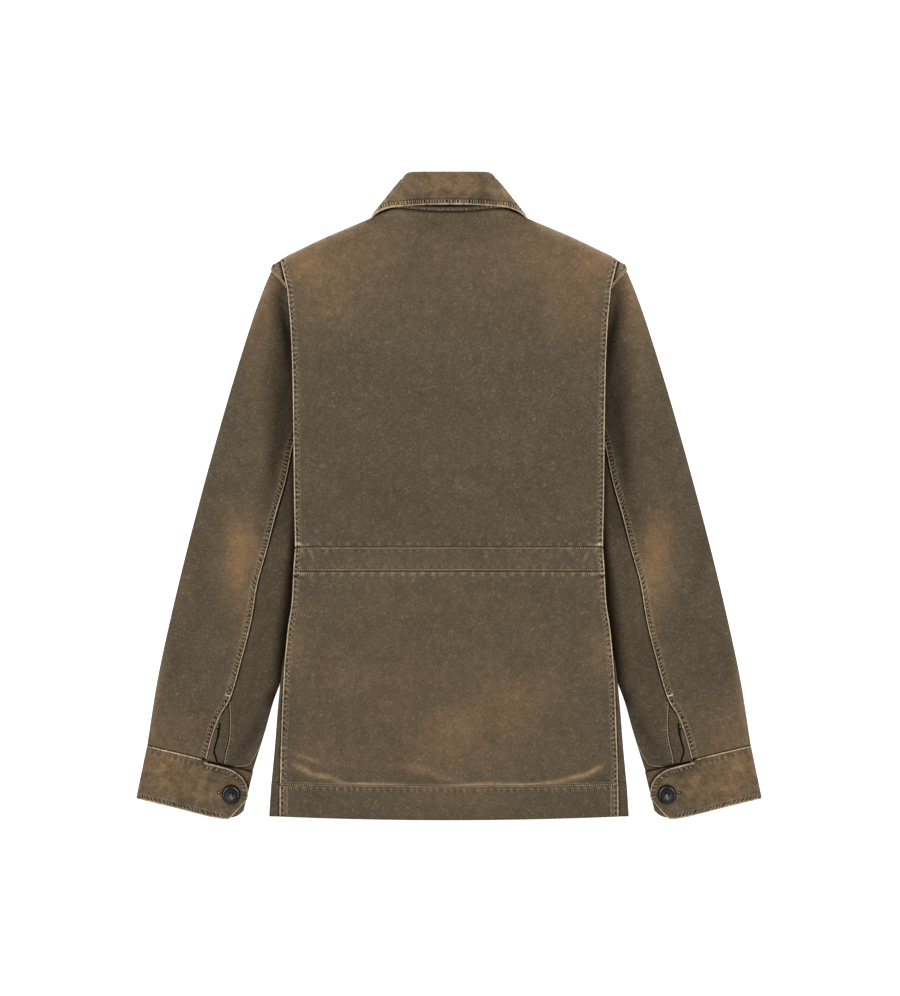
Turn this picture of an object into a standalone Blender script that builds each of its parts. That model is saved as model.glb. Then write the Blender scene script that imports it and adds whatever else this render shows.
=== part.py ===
"""A military field jacket, laid flat on its front with its back up.

The jacket lies on the plane z = 0. +Y runs from the hem to the collar, and -X is the
wearer's left. Every cut piece is one ply of cloth, an open grid of points on the middle
of the cloth that Solidify makes into a wall. Lengths are in millimetres until
make_sheet() turns them into metres. "Half" tables give distances from the centre line,
and each is used for both sides.
"""
import math
from collections import namedtuple

import bpy
import bmesh

MM = 0.001

# ---- cloth -----------------------------------------------------------------------
CLOTH = 1.1            # one ply of waxed cotton canvas
TURNED = 2.0           # cloth turned up and pressed, as at the hem
FACED = 1.8            # two plies with stiffening, as in the cuffs
GAP = 0.3              # between pieces that touch
STEP = CLOTH + GAP     # from one ply to the next
ALLOWANCE = 8.0        # cloth that goes under the next piece at a lapped seam
ARC_STEPS = 4          # facets round each fold

# ---- body ------------------------------------------------------------------------
HEM_DEPTH = 37.0
HEM_SAGS = (4.3, 3.0)  # how much lower the middle of the hem's two rows lies than their ends
FRONT_LAP = 18.0       # each front passes the centre line by this much
LAP_RAMP = 26.0        # the upper front comes down to the floor over this much
STRIP_TOP_Y = -61.1    # waist strip on the back
STRIP_BOTTOM_Y = -90.2

# A row for each line across the body, from the hem to the shoulder.
# y, edge: the back's side or armhole edge; fold: where the front turns round outside
# it; drop: how far below the row the fold lies; rise: how much of the neck and
# shoulder curve the row takes; reach: how far in the sleeve lies under the front.
BodyRow = namedtuple("BodyRow", "y edge fold drop rise reach")
BODY_ROWS = (
    BodyRow(-383.7, 202.4, 215.6, 0.0, 0.00, 0),
    BodyRow(-383.7 + HEM_DEPTH, 202.2, 213.2, 0.0, 0.00, 0),
    BodyRow(-379.7 + HEM_DEPTH, 202.1, 212.8, 0.0, 0.00, 0),
    BodyRow(-300.0, 201.1, 209.4, 0.0, 0.00, 4),
    BodyRow(-255.0, 199.6, 205.6, 0.0, 0.00, 12),
    BodyRow(-216.0, 198.3, 199.9, 0.0, 0.00, 24),
    BodyRow(-190.6, 197.0, 196.0, 0.0, 0.00, 34),
    BodyRow(-157.6, 192.4, 191.4, 0.0, 0.00, 44),
    BodyRow(-128.0, 188.0, 187.0, 0.0, 0.00, 52),
    BodyRow(STRIP_BOTTOM_Y, 186.0, 185.0, 0.0, 0.00, 64),
    BodyRow(STRIP_TOP_Y, 184.1, 183.1, 0.0, 0.00, 72),
    BodyRow(-15.0, 185.0, 184.0, 0.0, 0.00, 84),
    BodyRow(35.0, 185.6, 184.6, 0.0, 0.00, 88),
    BodyRow(80.0, 186.1, 185.1, 0.0, 0.08, 80),
    BodyRow(125.0, 186.8, 185.8, 0.0, 0.22, 62),
    BodyRow(170.0, 187.9, 186.9, 0.0, 0.40, 48),
    BodyRow(212.0, 190.2, 189.2, 0.0, 0.62, 40),
    BodyRow(248.1, 193.6, 193.4, 0.3, 0.82, 38),
    BodyRow(264.0, 197.4, 203.9, 4.6, 0.91, 40),
    BodyRow(272.8, 199.4, 213.2, 3.4, 0.955, 42),
    BodyRow(282.2, 201.6, 211.2, 5.0, 1.00, 44),
)
# Places across each row, as shares of the way from the centre line to the edge.
BODY_SHARES = (0.0, 0.12, 0.22, 0.325, 0.40, 0.44, 0.475, 0.58, 0.70, 0.81, 0.90, 0.955, 1.0)
FOLD_SHARE = 0.90      # the front leaves the back's places here for its own fold

# Neck and shoulder curve: half-width x, y on the back, y on the front.
NeckPoint = namedtuple("NeckPoint", "x back front")
NECK = (
    NeckPoint(0.0, 339.6, 261.5),
    NeckPoint(24.2, 340.4, 265.5),
    NeckPoint(44.4, 342.2, 282.0),
    NeckPoint(65.5, 343.0, 312.0),
    NeckPoint(80.6, 337.4, 328.0),
    NeckPoint(88.7, 331.6, 328.0),
    NeckPoint(95.8, 330.2, 329.0),
    NeckPoint(116.9, 323.2, 323.2),
    NeckPoint(141.1, 313.0, 313.0),
    NeckPoint(163.3, 302.8, 302.8),
    NeckPoint(181.4, 294.0, 294.0),
    NeckPoint(192.5, 288.5, 288.5),
    NeckPoint(201.6, 282.2, 282.2),
)

# ---- collar ----------------------------------------------------------------------
COLLAR_PLY = 1.5       # two plies pressed, as one wall
ROLL_GAP = 0.8         # between the stand and the fall that rolls over it
COLLAR_MID_Z = 2.0 * COLLAR_PLY + ROLL_GAP + GAP / 2.0   # halfway up the folded plies
STAND_OUT = (COLLAR_PLY + GAP) / 2.0           # the stand's ply from that height
FALL_OUT = STAND_OUT + COLLAR_PLY + ROLL_GAP   # the fall's ply from that height
COLLAR_LIFT = COLLAR_PLY + GAP                 # the fronts lie on the fall's leaves
LIFT_Y = (200.0, 244.0)                        # over which the fronts rise to them
LIFT_X = (108.0, 150.0)
LIFT_LEAD = 22.0                               # the back starts to rise this much lower
ROLL_STEPS = 3
# Corner points in plan, half-width and y: the roll edge and the outer edge, at the
# centre back, at the side fold and at the front end under the jacket.
CollarLine = namedtuple("CollarLine", "roll_x roll_y edge_x edge_y")
FALL_BACK = CollarLine(0.0, 386.2, 0.0, 347.4)
FALL_SIDE = CollarLine(49.6, 383.6, 91.3, 332.4)
FALL_FRONT = CollarLine(3.0, 309.0, 48.0, 250.0)
FALL_EDGE_DIP = 4.6    # the fall's edge is flat in the middle and drops to its tips
STAND_BACK = CollarLine(0.0, 383.6, 0.0, 340.4)
STAND_SIDE = CollarLine(51.6, 379.6, 64.8, 345.4)
STAND_FRONT = CollarLine(3.0, 301.0, 3.0, 266.0)
COLLAR_SHARES = (0.0, 0.2, 0.4, 0.6, 0.78, 0.9, 1.0)   # stations from centre to side
FALL_SHARES = (0.35, 0.7, 1.0)                 # rows from the roll to the outer edge
STAND_SHARES = (0.0, 0.5, 1.0)
FALL_LEAF_STEPS = 5                            # stations along the part under the jacket
STAND_LEAF_STEPS = 4

# ---- sleeves ---------------------------------------------------------------------
# Curves in plan on the laid sleeve, from the armhole to the cuff, half-width and y.
OUTER_FOLD = ((212.4, 268.6), (222.7, 246.8), (235.6, 210.8), (258.2, 138.8), (279.0, 66.8),
              (298.7, -5.2), (317.3, -77.2), (334.4, -149.2), (349.6, -221.2), (361.9, -299.0))
BACK_SEAM = ((178.6, 84.0), (187.0, 62.4), (196.0, 18.8), (207.6, -22.0), (218.4, -64.0),
             (229.6, -104.8), (237.6, -151.6), (248.8, -196.0), (262.6, -243.0),
             (276.0, -266.0), (284.6, -290.4), (291.4, -316.0))
VENT_SLIT = ((178.6, 84.0), (187.0, 62.4), (196.0, 18.8), (207.6, -22.0), (218.4, -64.0),
             (229.6, -104.8), (237.6, -151.6), (248.8, -196.0), (264.4, -245.0),
             (274.6, -272.0), (279.2, -306.4), (275.6, -320.2))
INNER_FOLD = ((124.8, 18.8), (152.0, -62.0), (178.5, -142.0), (201.6, -211.6),
              (216.6, -266.8), (235.7, -330.6))
ARMHOLE_OVER = ((212.4, 268.6), (196.0, 262.0), (186.2, 240.0), (180.6, 190.0),
                (178.8, 130.0), (178.6, 84.0))
ARMHOLE_UNDER = ((178.6, 84.0), (158.0, 46.0), (124.8, 18.8))
SLEEVE_ROWS = 13
OVER_COLUMNS = 4       # from the outer fold to where the upper ply rises to its seam
UNDER_COLUMNS = 4      # from the seam to the inner fold
SEAM_ALLOWANCE = 6.0   # of the under sleeve, below the upper ply's edge
SEAM_LIFT_WIDTH = 11.5 # the upper ply stays lifted this far from its seam edge
SEAM_RAMP = 13.0       # and comes down over this much
# Shares of the seam's length:
SEAM_LIFT = (0.06, 0.16)       # over which the upper ply rises to its seam
LAP_BEGINS = (0.16, 0.24)      # over which the under sleeve's allowance begins
LAP_ENDS = (0.82, 0.88)        # over which it ends, where the vent opens
PLACKET = (0.905, 0.995)       # from top to bottom of the strip behind the vent
PLACKET_ROWS = 5
PLACKET_TUCK = 1.2             # the strip stops this far from the slit

# ---- cuffs -----------------------------------------------------------------------
CUFF_CORNER = (362.2, -300.2)      # outer end of the seam between sleeve and cuff
CUFF_ANGLE = 13.8                  # degrees that the cuff leans down towards the body
CUFF_HEIGHT = 63.2
CUFF_LEAN = 2.3                    # the outer fold lies further in at the lower edge
TAB_START = 69.0                   # along the cuff, where its free tab begins
TAB_DROP = 3.0                     # the tab's upper edge lies this far below the seam
UNDER_END = 76.0                   # where the cuff's under end begins, below the tab
TAB_RAMP = 12.0                    # over which the cuff climbs onto its under end
TAB_CLIMB = 0.85                   # share of that climb done where the tab begins
TAB_NOTCH = 3.0                    # over which its upper edge drops
CUFF_SHARES = (0.0, 0.16, 0.38, 0.62, 0.84, 1.0)       # rows down the cuff
INNER_FOLD_AT = 130.4              # along the cuff, where the band turns round
# The lower edge of the band, whose inner corner is rounded: along, distance down.
BAND_EDGE = ((0.0, 63.2), (98.0, 63.2), (106.0, 62.0), (114.0, 59.6), (121.0, 56.4),
             (125.0, 52.4), (128.0, 47.6), (130.4, 47.6))
UNDER_PLACES = (98.0, 114.0, 122.0)        # points along the band's under end
FLOOR_PLACES = (122.0, 114.0, 98.0, 62.0, 30.0)    # and along its ply on the floor
OVER_START = 25.0                          # and where its upper ply begins
# The free tab, a row for each place along it: its upper and its lower edge.
TabPlace = namedtuple("TabPlace", "along upper lower")
TAB_PLACES = (
    TabPlace(80.0, TAB_DROP, 63.2),
    TabPlace(92.0, TAB_DROP, 63.2),
    TabPlace(104.0, 3.6, 62.0),
    TabPlace(114.0, 6.6, 58.8),
    TabPlace(122.0, 11.2, 53.8),
    TabPlace(128.0, 18.6, 46.0),
    TabPlace(131.4, 27.0, 38.4),
)

# ---- buttons ---------------------------------------------------------------------
BUTTON_PLACE = (260.9, -358.0)
BUTTON_RADIUS = 10.2
BUTTON_HEIGHT = 3.4
BUTTON_RIM = 1.9       # width of the raised rim
BUTTON_DISH = 1.0      # depth of the dished middle
BUTTON_SIDES = 24
HOLE_RADIUS = 1.0
HOLE_OFFSET = 1.75     # of each of the four holes from the centre, along x and y
HOLE_SIDES = 8

# ---- colours ---------------------------------------------------------------------
OLIVE_CLOTH = (0.105, 0.083, 0.057, 1.0)
FADED_CLOTH = (0.150, 0.108, 0.066, 1.0)
HORN_BUTTON = (0.018, 0.018, 0.021, 1.0)


# ==== small mathematics ===========================================================

def blend(a, b, share):
    return a + (b - a) * share


def ease(low, high, value):
    """0 below low, 1 above high, and a smooth step between them."""
    share = min(1.0, max(0.0, (value - low) / (high - low)))
    return share * share * (3.0 - 2.0 * share)


def read_curve(points, x, column):
    """The value in a column of a table at x, along straight lines between its rows."""
    for low, high in zip(points, points[1:]):
        if x <= high[0]:
            return blend(low[column], high[column], (x - low[0]) / (high[0] - low[0]))
    return points[-1][column]


def smooth_curve(points):
    """A function of a share from 0 to 1, on a smooth curve through the points."""
    lengths = [0.0]
    for a, b in zip(points, points[1:]):
        lengths.append(lengths[-1] + math.dist(a, b))
    total = lengths[-1]

    def tangent(i):
        low = max(i - 1, 0)
        high = min(i + 1, len(points) - 1)
        run = lengths[high] - lengths[low]
        return [(points[high][k] - points[low][k]) / run for k in (0, 1)]

    def at(share):
        length = min(max(share, 0.0), 1.0) * total
        i = max(k for k in range(len(points) - 1) if lengths[k] <= length)
        span = lengths[i + 1] - lengths[i]
        t = (length - lengths[i]) / span
        start = tangent(i)
        end = tangent(i + 1)
        return [(2 * t**3 - 3 * t**2 + 1) * points[i][k] + (t**3 - 2 * t**2 + t) * span * start[k]
                + (3 * t**2 - 2 * t**3) * points[i + 1][k] + (t**3 - t**2) * span * end[k]
                for k in (0, 1)]

    return at


def four_sided_patch(near, far, first, last):
    """A point in plan inside four curves: near and far run across, first and last along."""
    def at(across, along):
        point = []
        for k in (0, 1):
            ruled_a = blend(near(across)[k], far(across)[k], along)
            ruled_b = blend(first(along)[k], last(along)[k], across)
            corners = blend(blend(near(0)[k], near(1)[k], across),
                            blend(far(0)[k], far(1)[k], across), along)
            point.append(ruled_a + ruled_b - corners)
        return point

    return at


# ==== making cloth ================================================================

def make_material(name, colour, roughness):
    material = bpy.data.materials.new(name)
    material.use_nodes = True
    shader = material.node_tree.nodes["Principled BSDF"]
    shader.inputs["Base Color"].default_value = colour
    shader.inputs["Roughness"].default_value = roughness
    shader.inputs["Metallic"].default_value = 0.0
    return material


def add_object(name, mesh, colour, roughness=0.9):
    piece = bpy.data.objects.new(name, mesh)
    jacket.objects.link(piece)
    piece.data.materials.append(make_material(name, colour, roughness))
    return piece


def make_sheet(name, rows, thickness, colour=OLIVE_CLOTH, side=1, plies=None):
    """Cloth through rows of points on its middle. plies gives each row's share of the
    thickness, where the cloth isn't as thick all over."""
    mesh = bpy.data.meshes.new(name)
    build = bmesh.new()
    grid = [[build.verts.new((side * x * MM, y * MM, z * MM)) for x, y, z in row]
            for row in rows]
    for low, high in zip(grid, grid[1:]):
        for i in range(len(low) - 1):
            build.faces.new((low[i], low[i + 1], high[i + 1], high[i]))
    build.to_mesh(mesh)
    build.free()
    piece = add_object(name, mesh, colour)
    solidify = piece.modifiers.new("cloth", "SOLIDIFY")
    solidify.thickness = thickness * MM
    solidify.offset = 0.0
    solidify.use_even_offset = True
    if plies:
        group = piece.vertex_groups.new(name="plies")
        columns = len(rows[0])
        for i, share in enumerate(plies):
            group.add(range(i * columns, (i + 1) * columns), share, "REPLACE")
        solidify.vertex_group = group.name
    return piece


def fold_up(x, y, low_z, high_z):
    """Points of a half-circle fold that stands out towards +x from a ply that ends at
    x, from the lower ply's height to the upper's."""
    radius = (high_z - low_z) / 2.0
    points = []
    for i in range(ARC_STEPS + 1):
        turn = math.pi * i / ARC_STEPS
        points.append((x + radius * math.sin(turn), y, low_z + radius - radius * math.cos(turn)))
    return points


# ==== body ========================================================================

def ply_thickness(i):
    return TURNED if i < len(HEM_SAGS) else CLOTH


def body_place(i, share, column):
    """A point in plan at a share of row i, with the neck of the back or the front."""
    row = BODY_ROWS[i]
    neck = read_curve(NECK, share * NECK[-1].x, NeckPoint._fields.index(column))
    sag = HEM_SAGS[i] if i < len(HEM_SAGS) else 0.0
    y = row.y + row.rise * (neck - NECK[-1].back) - sag * (1.0 - share * share)
    return share * row.edge, y


def row_rises(i):
    return BODY_ROWS[i].rise > 0.0


def floor_height(i, x, y):
    """How high the fronts are lifted by the sleeves and the collar under them."""
    row = BODY_ROWS[i]
    inward = row.edge - x
    sleeve = 2.0 * STEP * (1.0 - ease(row.reach, row.reach + 45.0, inward))
    if row.y < -300.0:
        sleeve = 0.0
    elif row.y < -200.0:
        sleeve *= ease(-300.0, -216.0, row.y)
    collar = COLLAR_LIFT * ease(*LIFT_Y, y) * (1.0 - ease(*LIFT_X, x))
    return max(sleeve, collar)


def back_height(i, x, y):
    """Middle of the back's ply: two plies of the fronts lie under it."""
    ply = ply_thickness(i)
    floor = floor_height(i, x, y + LIFT_LEAD if row_rises(i) else y)
    return floor + 2.0 * (ply + GAP) + ply / 2.0


def back_rows():
    rows = []
    for i in range(len(BODY_ROWS)):
        row = []
        for share in [-s for s in reversed(BODY_SHARES[1:])] + list(BODY_SHARES):
            x, y = body_place(i, abs(share), "back")
            row.append((math.copysign(x, share), y, back_height(i, x, y)))
        rows.append(row)
    return rows


def make_back():
    plies = [ply_thickness(i) / TURNED for i in range(len(BODY_ROWS))]
    make_sheet("back", back_rows(), TURNED, plies=plies)


def make_waist_strip():
    """The strip is made from the back's own points, moved out by one ply."""
    rows = back_rows()
    first = next(i for i, row in enumerate(BODY_ROWS) if row.y == STRIP_BOTTOM_Y)
    strip = [[(x, y, z + STEP) for x, y, z in rows[i]] for i in (first, first + 1)]
    make_sheet("waist_strip", strip, CLOTH)


def front_row(i, lifted):
    """One line across a front: from past the centre line out to the side, round the
    fold, and back in under the edge of the back."""
    row = BODY_ROWS[i]
    ply = ply_thickness(i)
    points = []
    inner = [(-FRONT_LAP, 0.0), (0.0, 0.0)]
    for share in BODY_SHARES[1:]:
        if share <= FOLD_SHARE:
            inner.append((None, share))
    for offset, share in inner:
        x, y = body_place(i, share, "front")
        if offset is not None:
            x = offset
        lap = (ply + GAP) * (1.0 - ease(FRONT_LAP + 2.0, FRONT_LAP + LAP_RAMP, x)) * lifted
        points.append((x, y, floor_height(i, abs(x), y) + lap + ply / 2.0))
    low = floor_height(i, row.edge, row.y) + ply / 2.0
    high = low + ply + GAP
    turn_x = row.fold - (high - low) / 2.0 - ply / 2.0
    fold_y = body_place(i, 1.0, "front")[1] - row.drop
    points += fold_up(turn_x, fold_y, low, high)
    end_share = (row.edge - ALLOWANCE) / row.edge
    end_x, end_y = body_place(i, end_share, "back")
    points.append((end_x, blend(end_y, fold_y, 0.3) if row.drop else end_y, high))
    return points


def make_front(side, side_name):
    lifted = 1.0 if side < 0 else 0.0
    rows = [front_row(i, lifted) for i in range(len(BODY_ROWS))]
    plies = [ply_thickness(i) / TURNED for i in range(len(BODY_ROWS))]
    make_sheet("front_" + side_name, rows, TURNED, side=side, plies=plies)


# ==== collar ======================================================================

def collar_stations(back, side, front, leaf_steps):
    """Stations round half of a folded collar band: a line from the roll edge to the
    outer edge, and the angle that the ply has turned from facing up."""
    stations = []
    for share in COLLAR_SHARES:
        line = [blend(a, b, share) for a, b in zip(back, side)]
        stations.append((line, 0.0))
    for i in range(1, ARC_STEPS + 1):
        stations.append((list(side), math.pi * i / ARC_STEPS))
    for i in range(1, leaf_steps + 1):
        line = [blend(a, b, i / leaf_steps) for a, b in zip(side, front)]
        stations.append((line, math.pi))
    return stations


def collar_point(line, angle, down, out, outward):
    """A point on a station: down is the distance from the roll edge as a share, and
    outward the direction in plan that the side fold faces."""
    x = blend(line[0], line[2], down) + outward[0] * out * math.sin(angle)
    y = blend(line[1], line[3], down) + outward[1] * out * math.sin(angle)
    return x, y, COLLAR_MID_Z + out * math.cos(angle)


def side_direction(side):
    """Unit vector in plan, square to the side fold and away from the neck."""
    run = math.dist((side.roll_x, side.roll_y), (side.edge_x, side.edge_y))
    return (side.roll_y - side.edge_y) / run, (side.edge_x - side.roll_x) / run


def both_sides(half_rows):
    """Rows of a half that starts on the centre line, joined with their mirror image."""
    return [[(-x, y, z) for x, y, z in reversed(row[1:])] + row for row in half_rows]


def fall_half_rows():
    outward = side_direction(FALL_SIDE)
    rows = []
    middle = (FALL_OUT + STAND_OUT) / 2.0
    roll = (FALL_OUT - STAND_OUT) / 2.0
    stations = collar_stations(FALL_BACK, FALL_SIDE, FALL_FRONT, FALL_LEAF_STEPS)
    for i in range(ROLL_STEPS + 1):
        turn = math.pi * i / ROLL_STEPS
        out = middle - roll * math.cos(turn)
        row = []
        for line, angle in stations:
            x, y, z = collar_point(line, angle, 0.0, out, outward)
            length = math.dist(line[:2], line[2:])
            lift = roll * math.sin(turn) / length
            row.append((x + (line[0] - line[2]) * lift, y + (line[1] - line[3]) * lift, z))
        rows.append(row)
    for down in FALL_SHARES:
        row = []
        for line, angle in stations:
            share = min(1.0, line[2] / FALL_SIDE.edge_x) if angle < math.pi else 1.0
            dip = FALL_EDGE_DIP * down * 4.0 * share * (1.0 - share) if angle == 0.0 else 0.0
            x, y, z = collar_point(line, angle, down, FALL_OUT, outward)
            row.append((x, y + dip, z))
        rows.append(row)
    return rows


def make_collar():
    make_sheet("collar_fall", both_sides(fall_half_rows()), COLLAR_PLY)
    outward = side_direction(STAND_SIDE)
    stations = collar_stations(STAND_BACK, STAND_SIDE, STAND_FRONT, STAND_LEAF_STEPS)
    rows = [[collar_point(line, angle, down, STAND_OUT, outward) for line, angle in stations]
            for down in STAND_SHARES]
    make_sheet("collar_stand", both_sides(rows), COLLAR_PLY)


# ==== sleeves =====================================================================

def seam_lift(along):
    """How far the upper ply is lifted at its seam, over the allowance of the lower."""
    return STEP * ease(*SEAM_LIFT, along)


def cuff_line(start, end):
    return lambda share: [blend(start[k], end[k], share) for k in (0, 1)]


outer_fold = smooth_curve(OUTER_FOLD)
inner_fold = smooth_curve(INNER_FOLD)
over_patch = four_sided_patch(
    smooth_curve(ARMHOLE_OVER), cuff_line(OUTER_FOLD[-1], BACK_SEAM[-1]),
    outer_fold, smooth_curve(BACK_SEAM))
below_patch = four_sided_patch(
    smooth_curve(ARMHOLE_UNDER), cuff_line(BACK_SEAM[-1], INNER_FOLD[-1]),
    smooth_curve(BACK_SEAM), inner_fold)
under_patch = four_sided_patch(
    smooth_curve(ARMHOLE_UNDER), cuff_line(VENT_SLIT[-1], INNER_FOLD[-1]),
    smooth_curve(VENT_SLIT), inner_fold)

FLOOR_PLY = CLOTH / 2.0            # middle of the ply that lies on the floor
UPPER_PLY = FLOOR_PLY + STEP       # and of the ply on it
FOLD_INSET = STEP / 2.0 + CLOTH / 2.0


def moved_towards(point, other, distance):
    run = math.dist(point, other)
    return [blend(point[k], other[k], distance / run) for k in (0, 1)]


def outward(curve, along, side):
    """Unit vector in plan, square to a curve that runs towards the cuff. side is 1 to
    face away from the body and -1 to face it."""
    a = curve(max(0.0, along - 0.01))
    b = curve(min(1.0, along + 0.01))
    run = math.dist(a, b)
    return side * (a[1] - b[1]) / run, side * (b[0] - a[0]) / run


def fold_down(point, out):
    """A half-circle fold at a point of a sleeve's edge, from the upper ply down to the
    floor, standing out in the direction out."""
    radius = STEP / 2.0
    points = []
    for i in range(ARC_STEPS + 1):
        turn = math.pi * i / ARC_STEPS
        reach = radius * math.sin(turn) - FOLD_INSET
        points.append((point[0] + out[0] * reach, point[1] + out[1] * reach,
                       FLOOR_PLY + radius + radius * math.cos(turn)))
    return points


def over_shares(along):
    """Places from the back seam to the outer fold, the first at fixed distances from
    the seam, as shares of the way from the fold."""
    width = math.dist(over_patch(0.0, along), over_patch(1.0, along))
    ramp_foot = 1.0 - (SEAM_LIFT_WIDTH + SEAM_RAMP) / width
    shares = [1.0, 1.0 - SEAM_LIFT_WIDTH / width]
    return shares + [ramp_foot * i / OVER_COLUMNS for i in range(OVER_COLUMNS, 0, -1)]


def sleeve_top_row(along):
    """From the back seam over the top to the outer fold, round it, and back in along
    the floor to where the under sleeve's return begins."""
    shares = over_shares(along)
    row = []
    for i, share in enumerate(shares):
        lift = seam_lift(along) if i < 2 else 0.0
        row.append((*over_patch(share, along), UPPER_PLY + lift))
    row += fold_down(outer_fold(along), outward(outer_fold, along, 1))
    for share in reversed(shares[2:]):
        row.append((*over_patch(share, along), FLOOR_PLY))
    row.append((*over_patch(1.0, along), FLOOR_PLY))
    width = math.dist(below_patch(0.0, along), below_patch(1.0, along))
    last = 1.0 - (ALLOWANCE + GAP + FOLD_INSET) / width
    for i in range(1, UNDER_COLUMNS + 1):
        row.append((*below_patch(last * i / UNDER_COLUMNS, along), FLOOR_PLY))
    return row


def sleeve_under_row(along):
    """From under the back seam in to the inner fold, round it, and out on the floor."""
    seam = under_patch(0.0, along)
    inner = under_patch(1.0, along)
    lap = SEAM_ALLOWANCE * ease(*LAP_BEGINS, along) * (1.0 - ease(*LAP_ENDS, along))
    start = moved_towards(seam, inner, 1.5 * GAP - lap)
    row = [(*start, UPPER_PLY)]
    for i in range(1, UNDER_COLUMNS):
        row.append((*under_patch(i / UNDER_COLUMNS, along), UPPER_PLY))
    row += fold_down(inner, outward(inner_fold, along, -1))
    row.append((*moved_towards(inner, seam, ALLOWANCE + FOLD_INSET), FLOOR_PLY))
    return row


def make_sleeve(side, side_name):
    shares = [i / SLEEVE_ROWS for i in range(SLEEVE_ROWS + 1)]
    make_sheet("sleeve_top_" + side_name, [sleeve_top_row(s) for s in shares], CLOTH, side=side)
    make_sheet("sleeve_under_" + side_name, [sleeve_under_row(s) for s in shares], CLOTH,
               side=side)


def make_vent_placket(side, side_name):
    """The strip behind the vent, from under the top sleeve's edge to the slit."""
    rows = []
    for i in range(PLACKET_ROWS + 1):
        along = blend(*PLACKET, i / PLACKET_ROWS)
        slit = under_patch(0.0, along)
        edge = over_patch(1.0, along)
        under = over_patch(1.0 - ALLOWANCE / math.dist(edge, over_patch(0.0, along)), along)
        slit = moved_towards(slit, under, PLACKET_TUCK)
        rows.append([(*under, UPPER_PLY), (*slit, UPPER_PLY)])
    make_sheet("vent_placket_" + side_name, rows, CLOTH, side=side)


# ==== cuffs =======================================================================

def cuff_place(along, down):
    angle = math.radians(CUFF_ANGLE)
    along += CUFF_LEAN * down / CUFF_HEIGHT * (1.0 - along / INNER_FOLD_AT)
    x = CUFF_CORNER[0] - along * math.cos(angle) + down * math.sin(angle)
    y = CUFF_CORNER[1] - along * math.sin(angle) - down * math.cos(angle)
    return x, y


def cuff_path():
    """The line round the cuff, from its under end to the inner fold, back along the
    floor to the outer fold, and over the top to the end of the tab. Each point has its
    place along the cuff, its height, and the upper and lower edge there."""
    floor = FACED / 2.0
    band = floor + FACED + GAP
    tab = band + FACED + GAP
    radius = (FACED + GAP) / 2.0
    inset = radius + FACED / 2.0
    turn_at = INNER_FOLD_AT - inset
    line = [(along, band) for along in (UNDER_END, *UNDER_PLACES)]
    for i in range(ARC_STEPS + 1):
        turn = math.pi * i / ARC_STEPS
        line.append((turn_at + radius * math.sin(turn), floor + radius + radius * math.cos(turn)))
    line += [(along, floor) for along in FLOOR_PLACES]
    for i in range(ARC_STEPS + 1):
        turn = math.pi * i / ARC_STEPS
        line.append((inset - radius * math.sin(turn), floor + radius - radius * math.cos(turn)))
    line += [(along, band) for along in (OVER_START, TAB_START - TAB_RAMP)]
    path = [(along, z, 0.0, read_curve(BAND_EDGE, along, 1)) for along, z in line]
    path.append((TAB_START, blend(band, tab, TAB_CLIMB), 0.0, CUFF_HEIGHT))
    path.append((TAB_START + TAB_NOTCH, tab, TAB_DROP, CUFF_HEIGHT))
    for place in TAB_PLACES:
        path.append((place.along, tab, place.upper, place.lower))
    return path


def make_cuff(side, side_name):
    rows = []
    for share in CUFF_SHARES:
        rows.append([(*cuff_place(along, blend(upper, lower, share)), z)
                     for along, z, upper, lower in cuff_path()])
    make_sheet("cuff_" + side_name, rows, FACED, colour=FADED_CLOTH, side=side)


# ==== buttons =====================================================================

def button_profile():
    """Half of the button's section, radius and height, down its outer side."""
    rim_in = BUTTON_RADIUS - BUTTON_RIM
    return ((0.0, BUTTON_HEIGHT - BUTTON_DISH),
            (rim_in - 1.2, BUTTON_HEIGHT - BUTTON_DISH),
            (rim_in, BUTTON_HEIGHT - 0.3),
            (BUTTON_RADIUS - 1.1, BUTTON_HEIGHT),
            (BUTTON_RADIUS - 0.2, BUTTON_HEIGHT - 0.7),
            (BUTTON_RADIUS, BUTTON_HEIGHT - 1.5),
            (BUTTON_RADIUS - 2.2, 0.25),
            (BUTTON_RADIUS - 3.6, 0.0),
            (0.0, 0.0))


def make_hole_cutter(name, x, y, z):
    bpy.ops.mesh.primitive_cylinder_add(
        vertices=HOLE_SIDES, radius=HOLE_RADIUS * MM, depth=3.0 * BUTTON_HEIGHT * MM,
        location=(x * MM, y * MM, z * MM))
    cutter = bpy.context.object
    cutter.name = name
    for owner in list(cutter.users_collection):
        owner.objects.unlink(cutter)
    cutters.objects.link(cutter)
    cutter.hide_render = True
    cutter.display_type = "WIRE"
    return cutter


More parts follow.
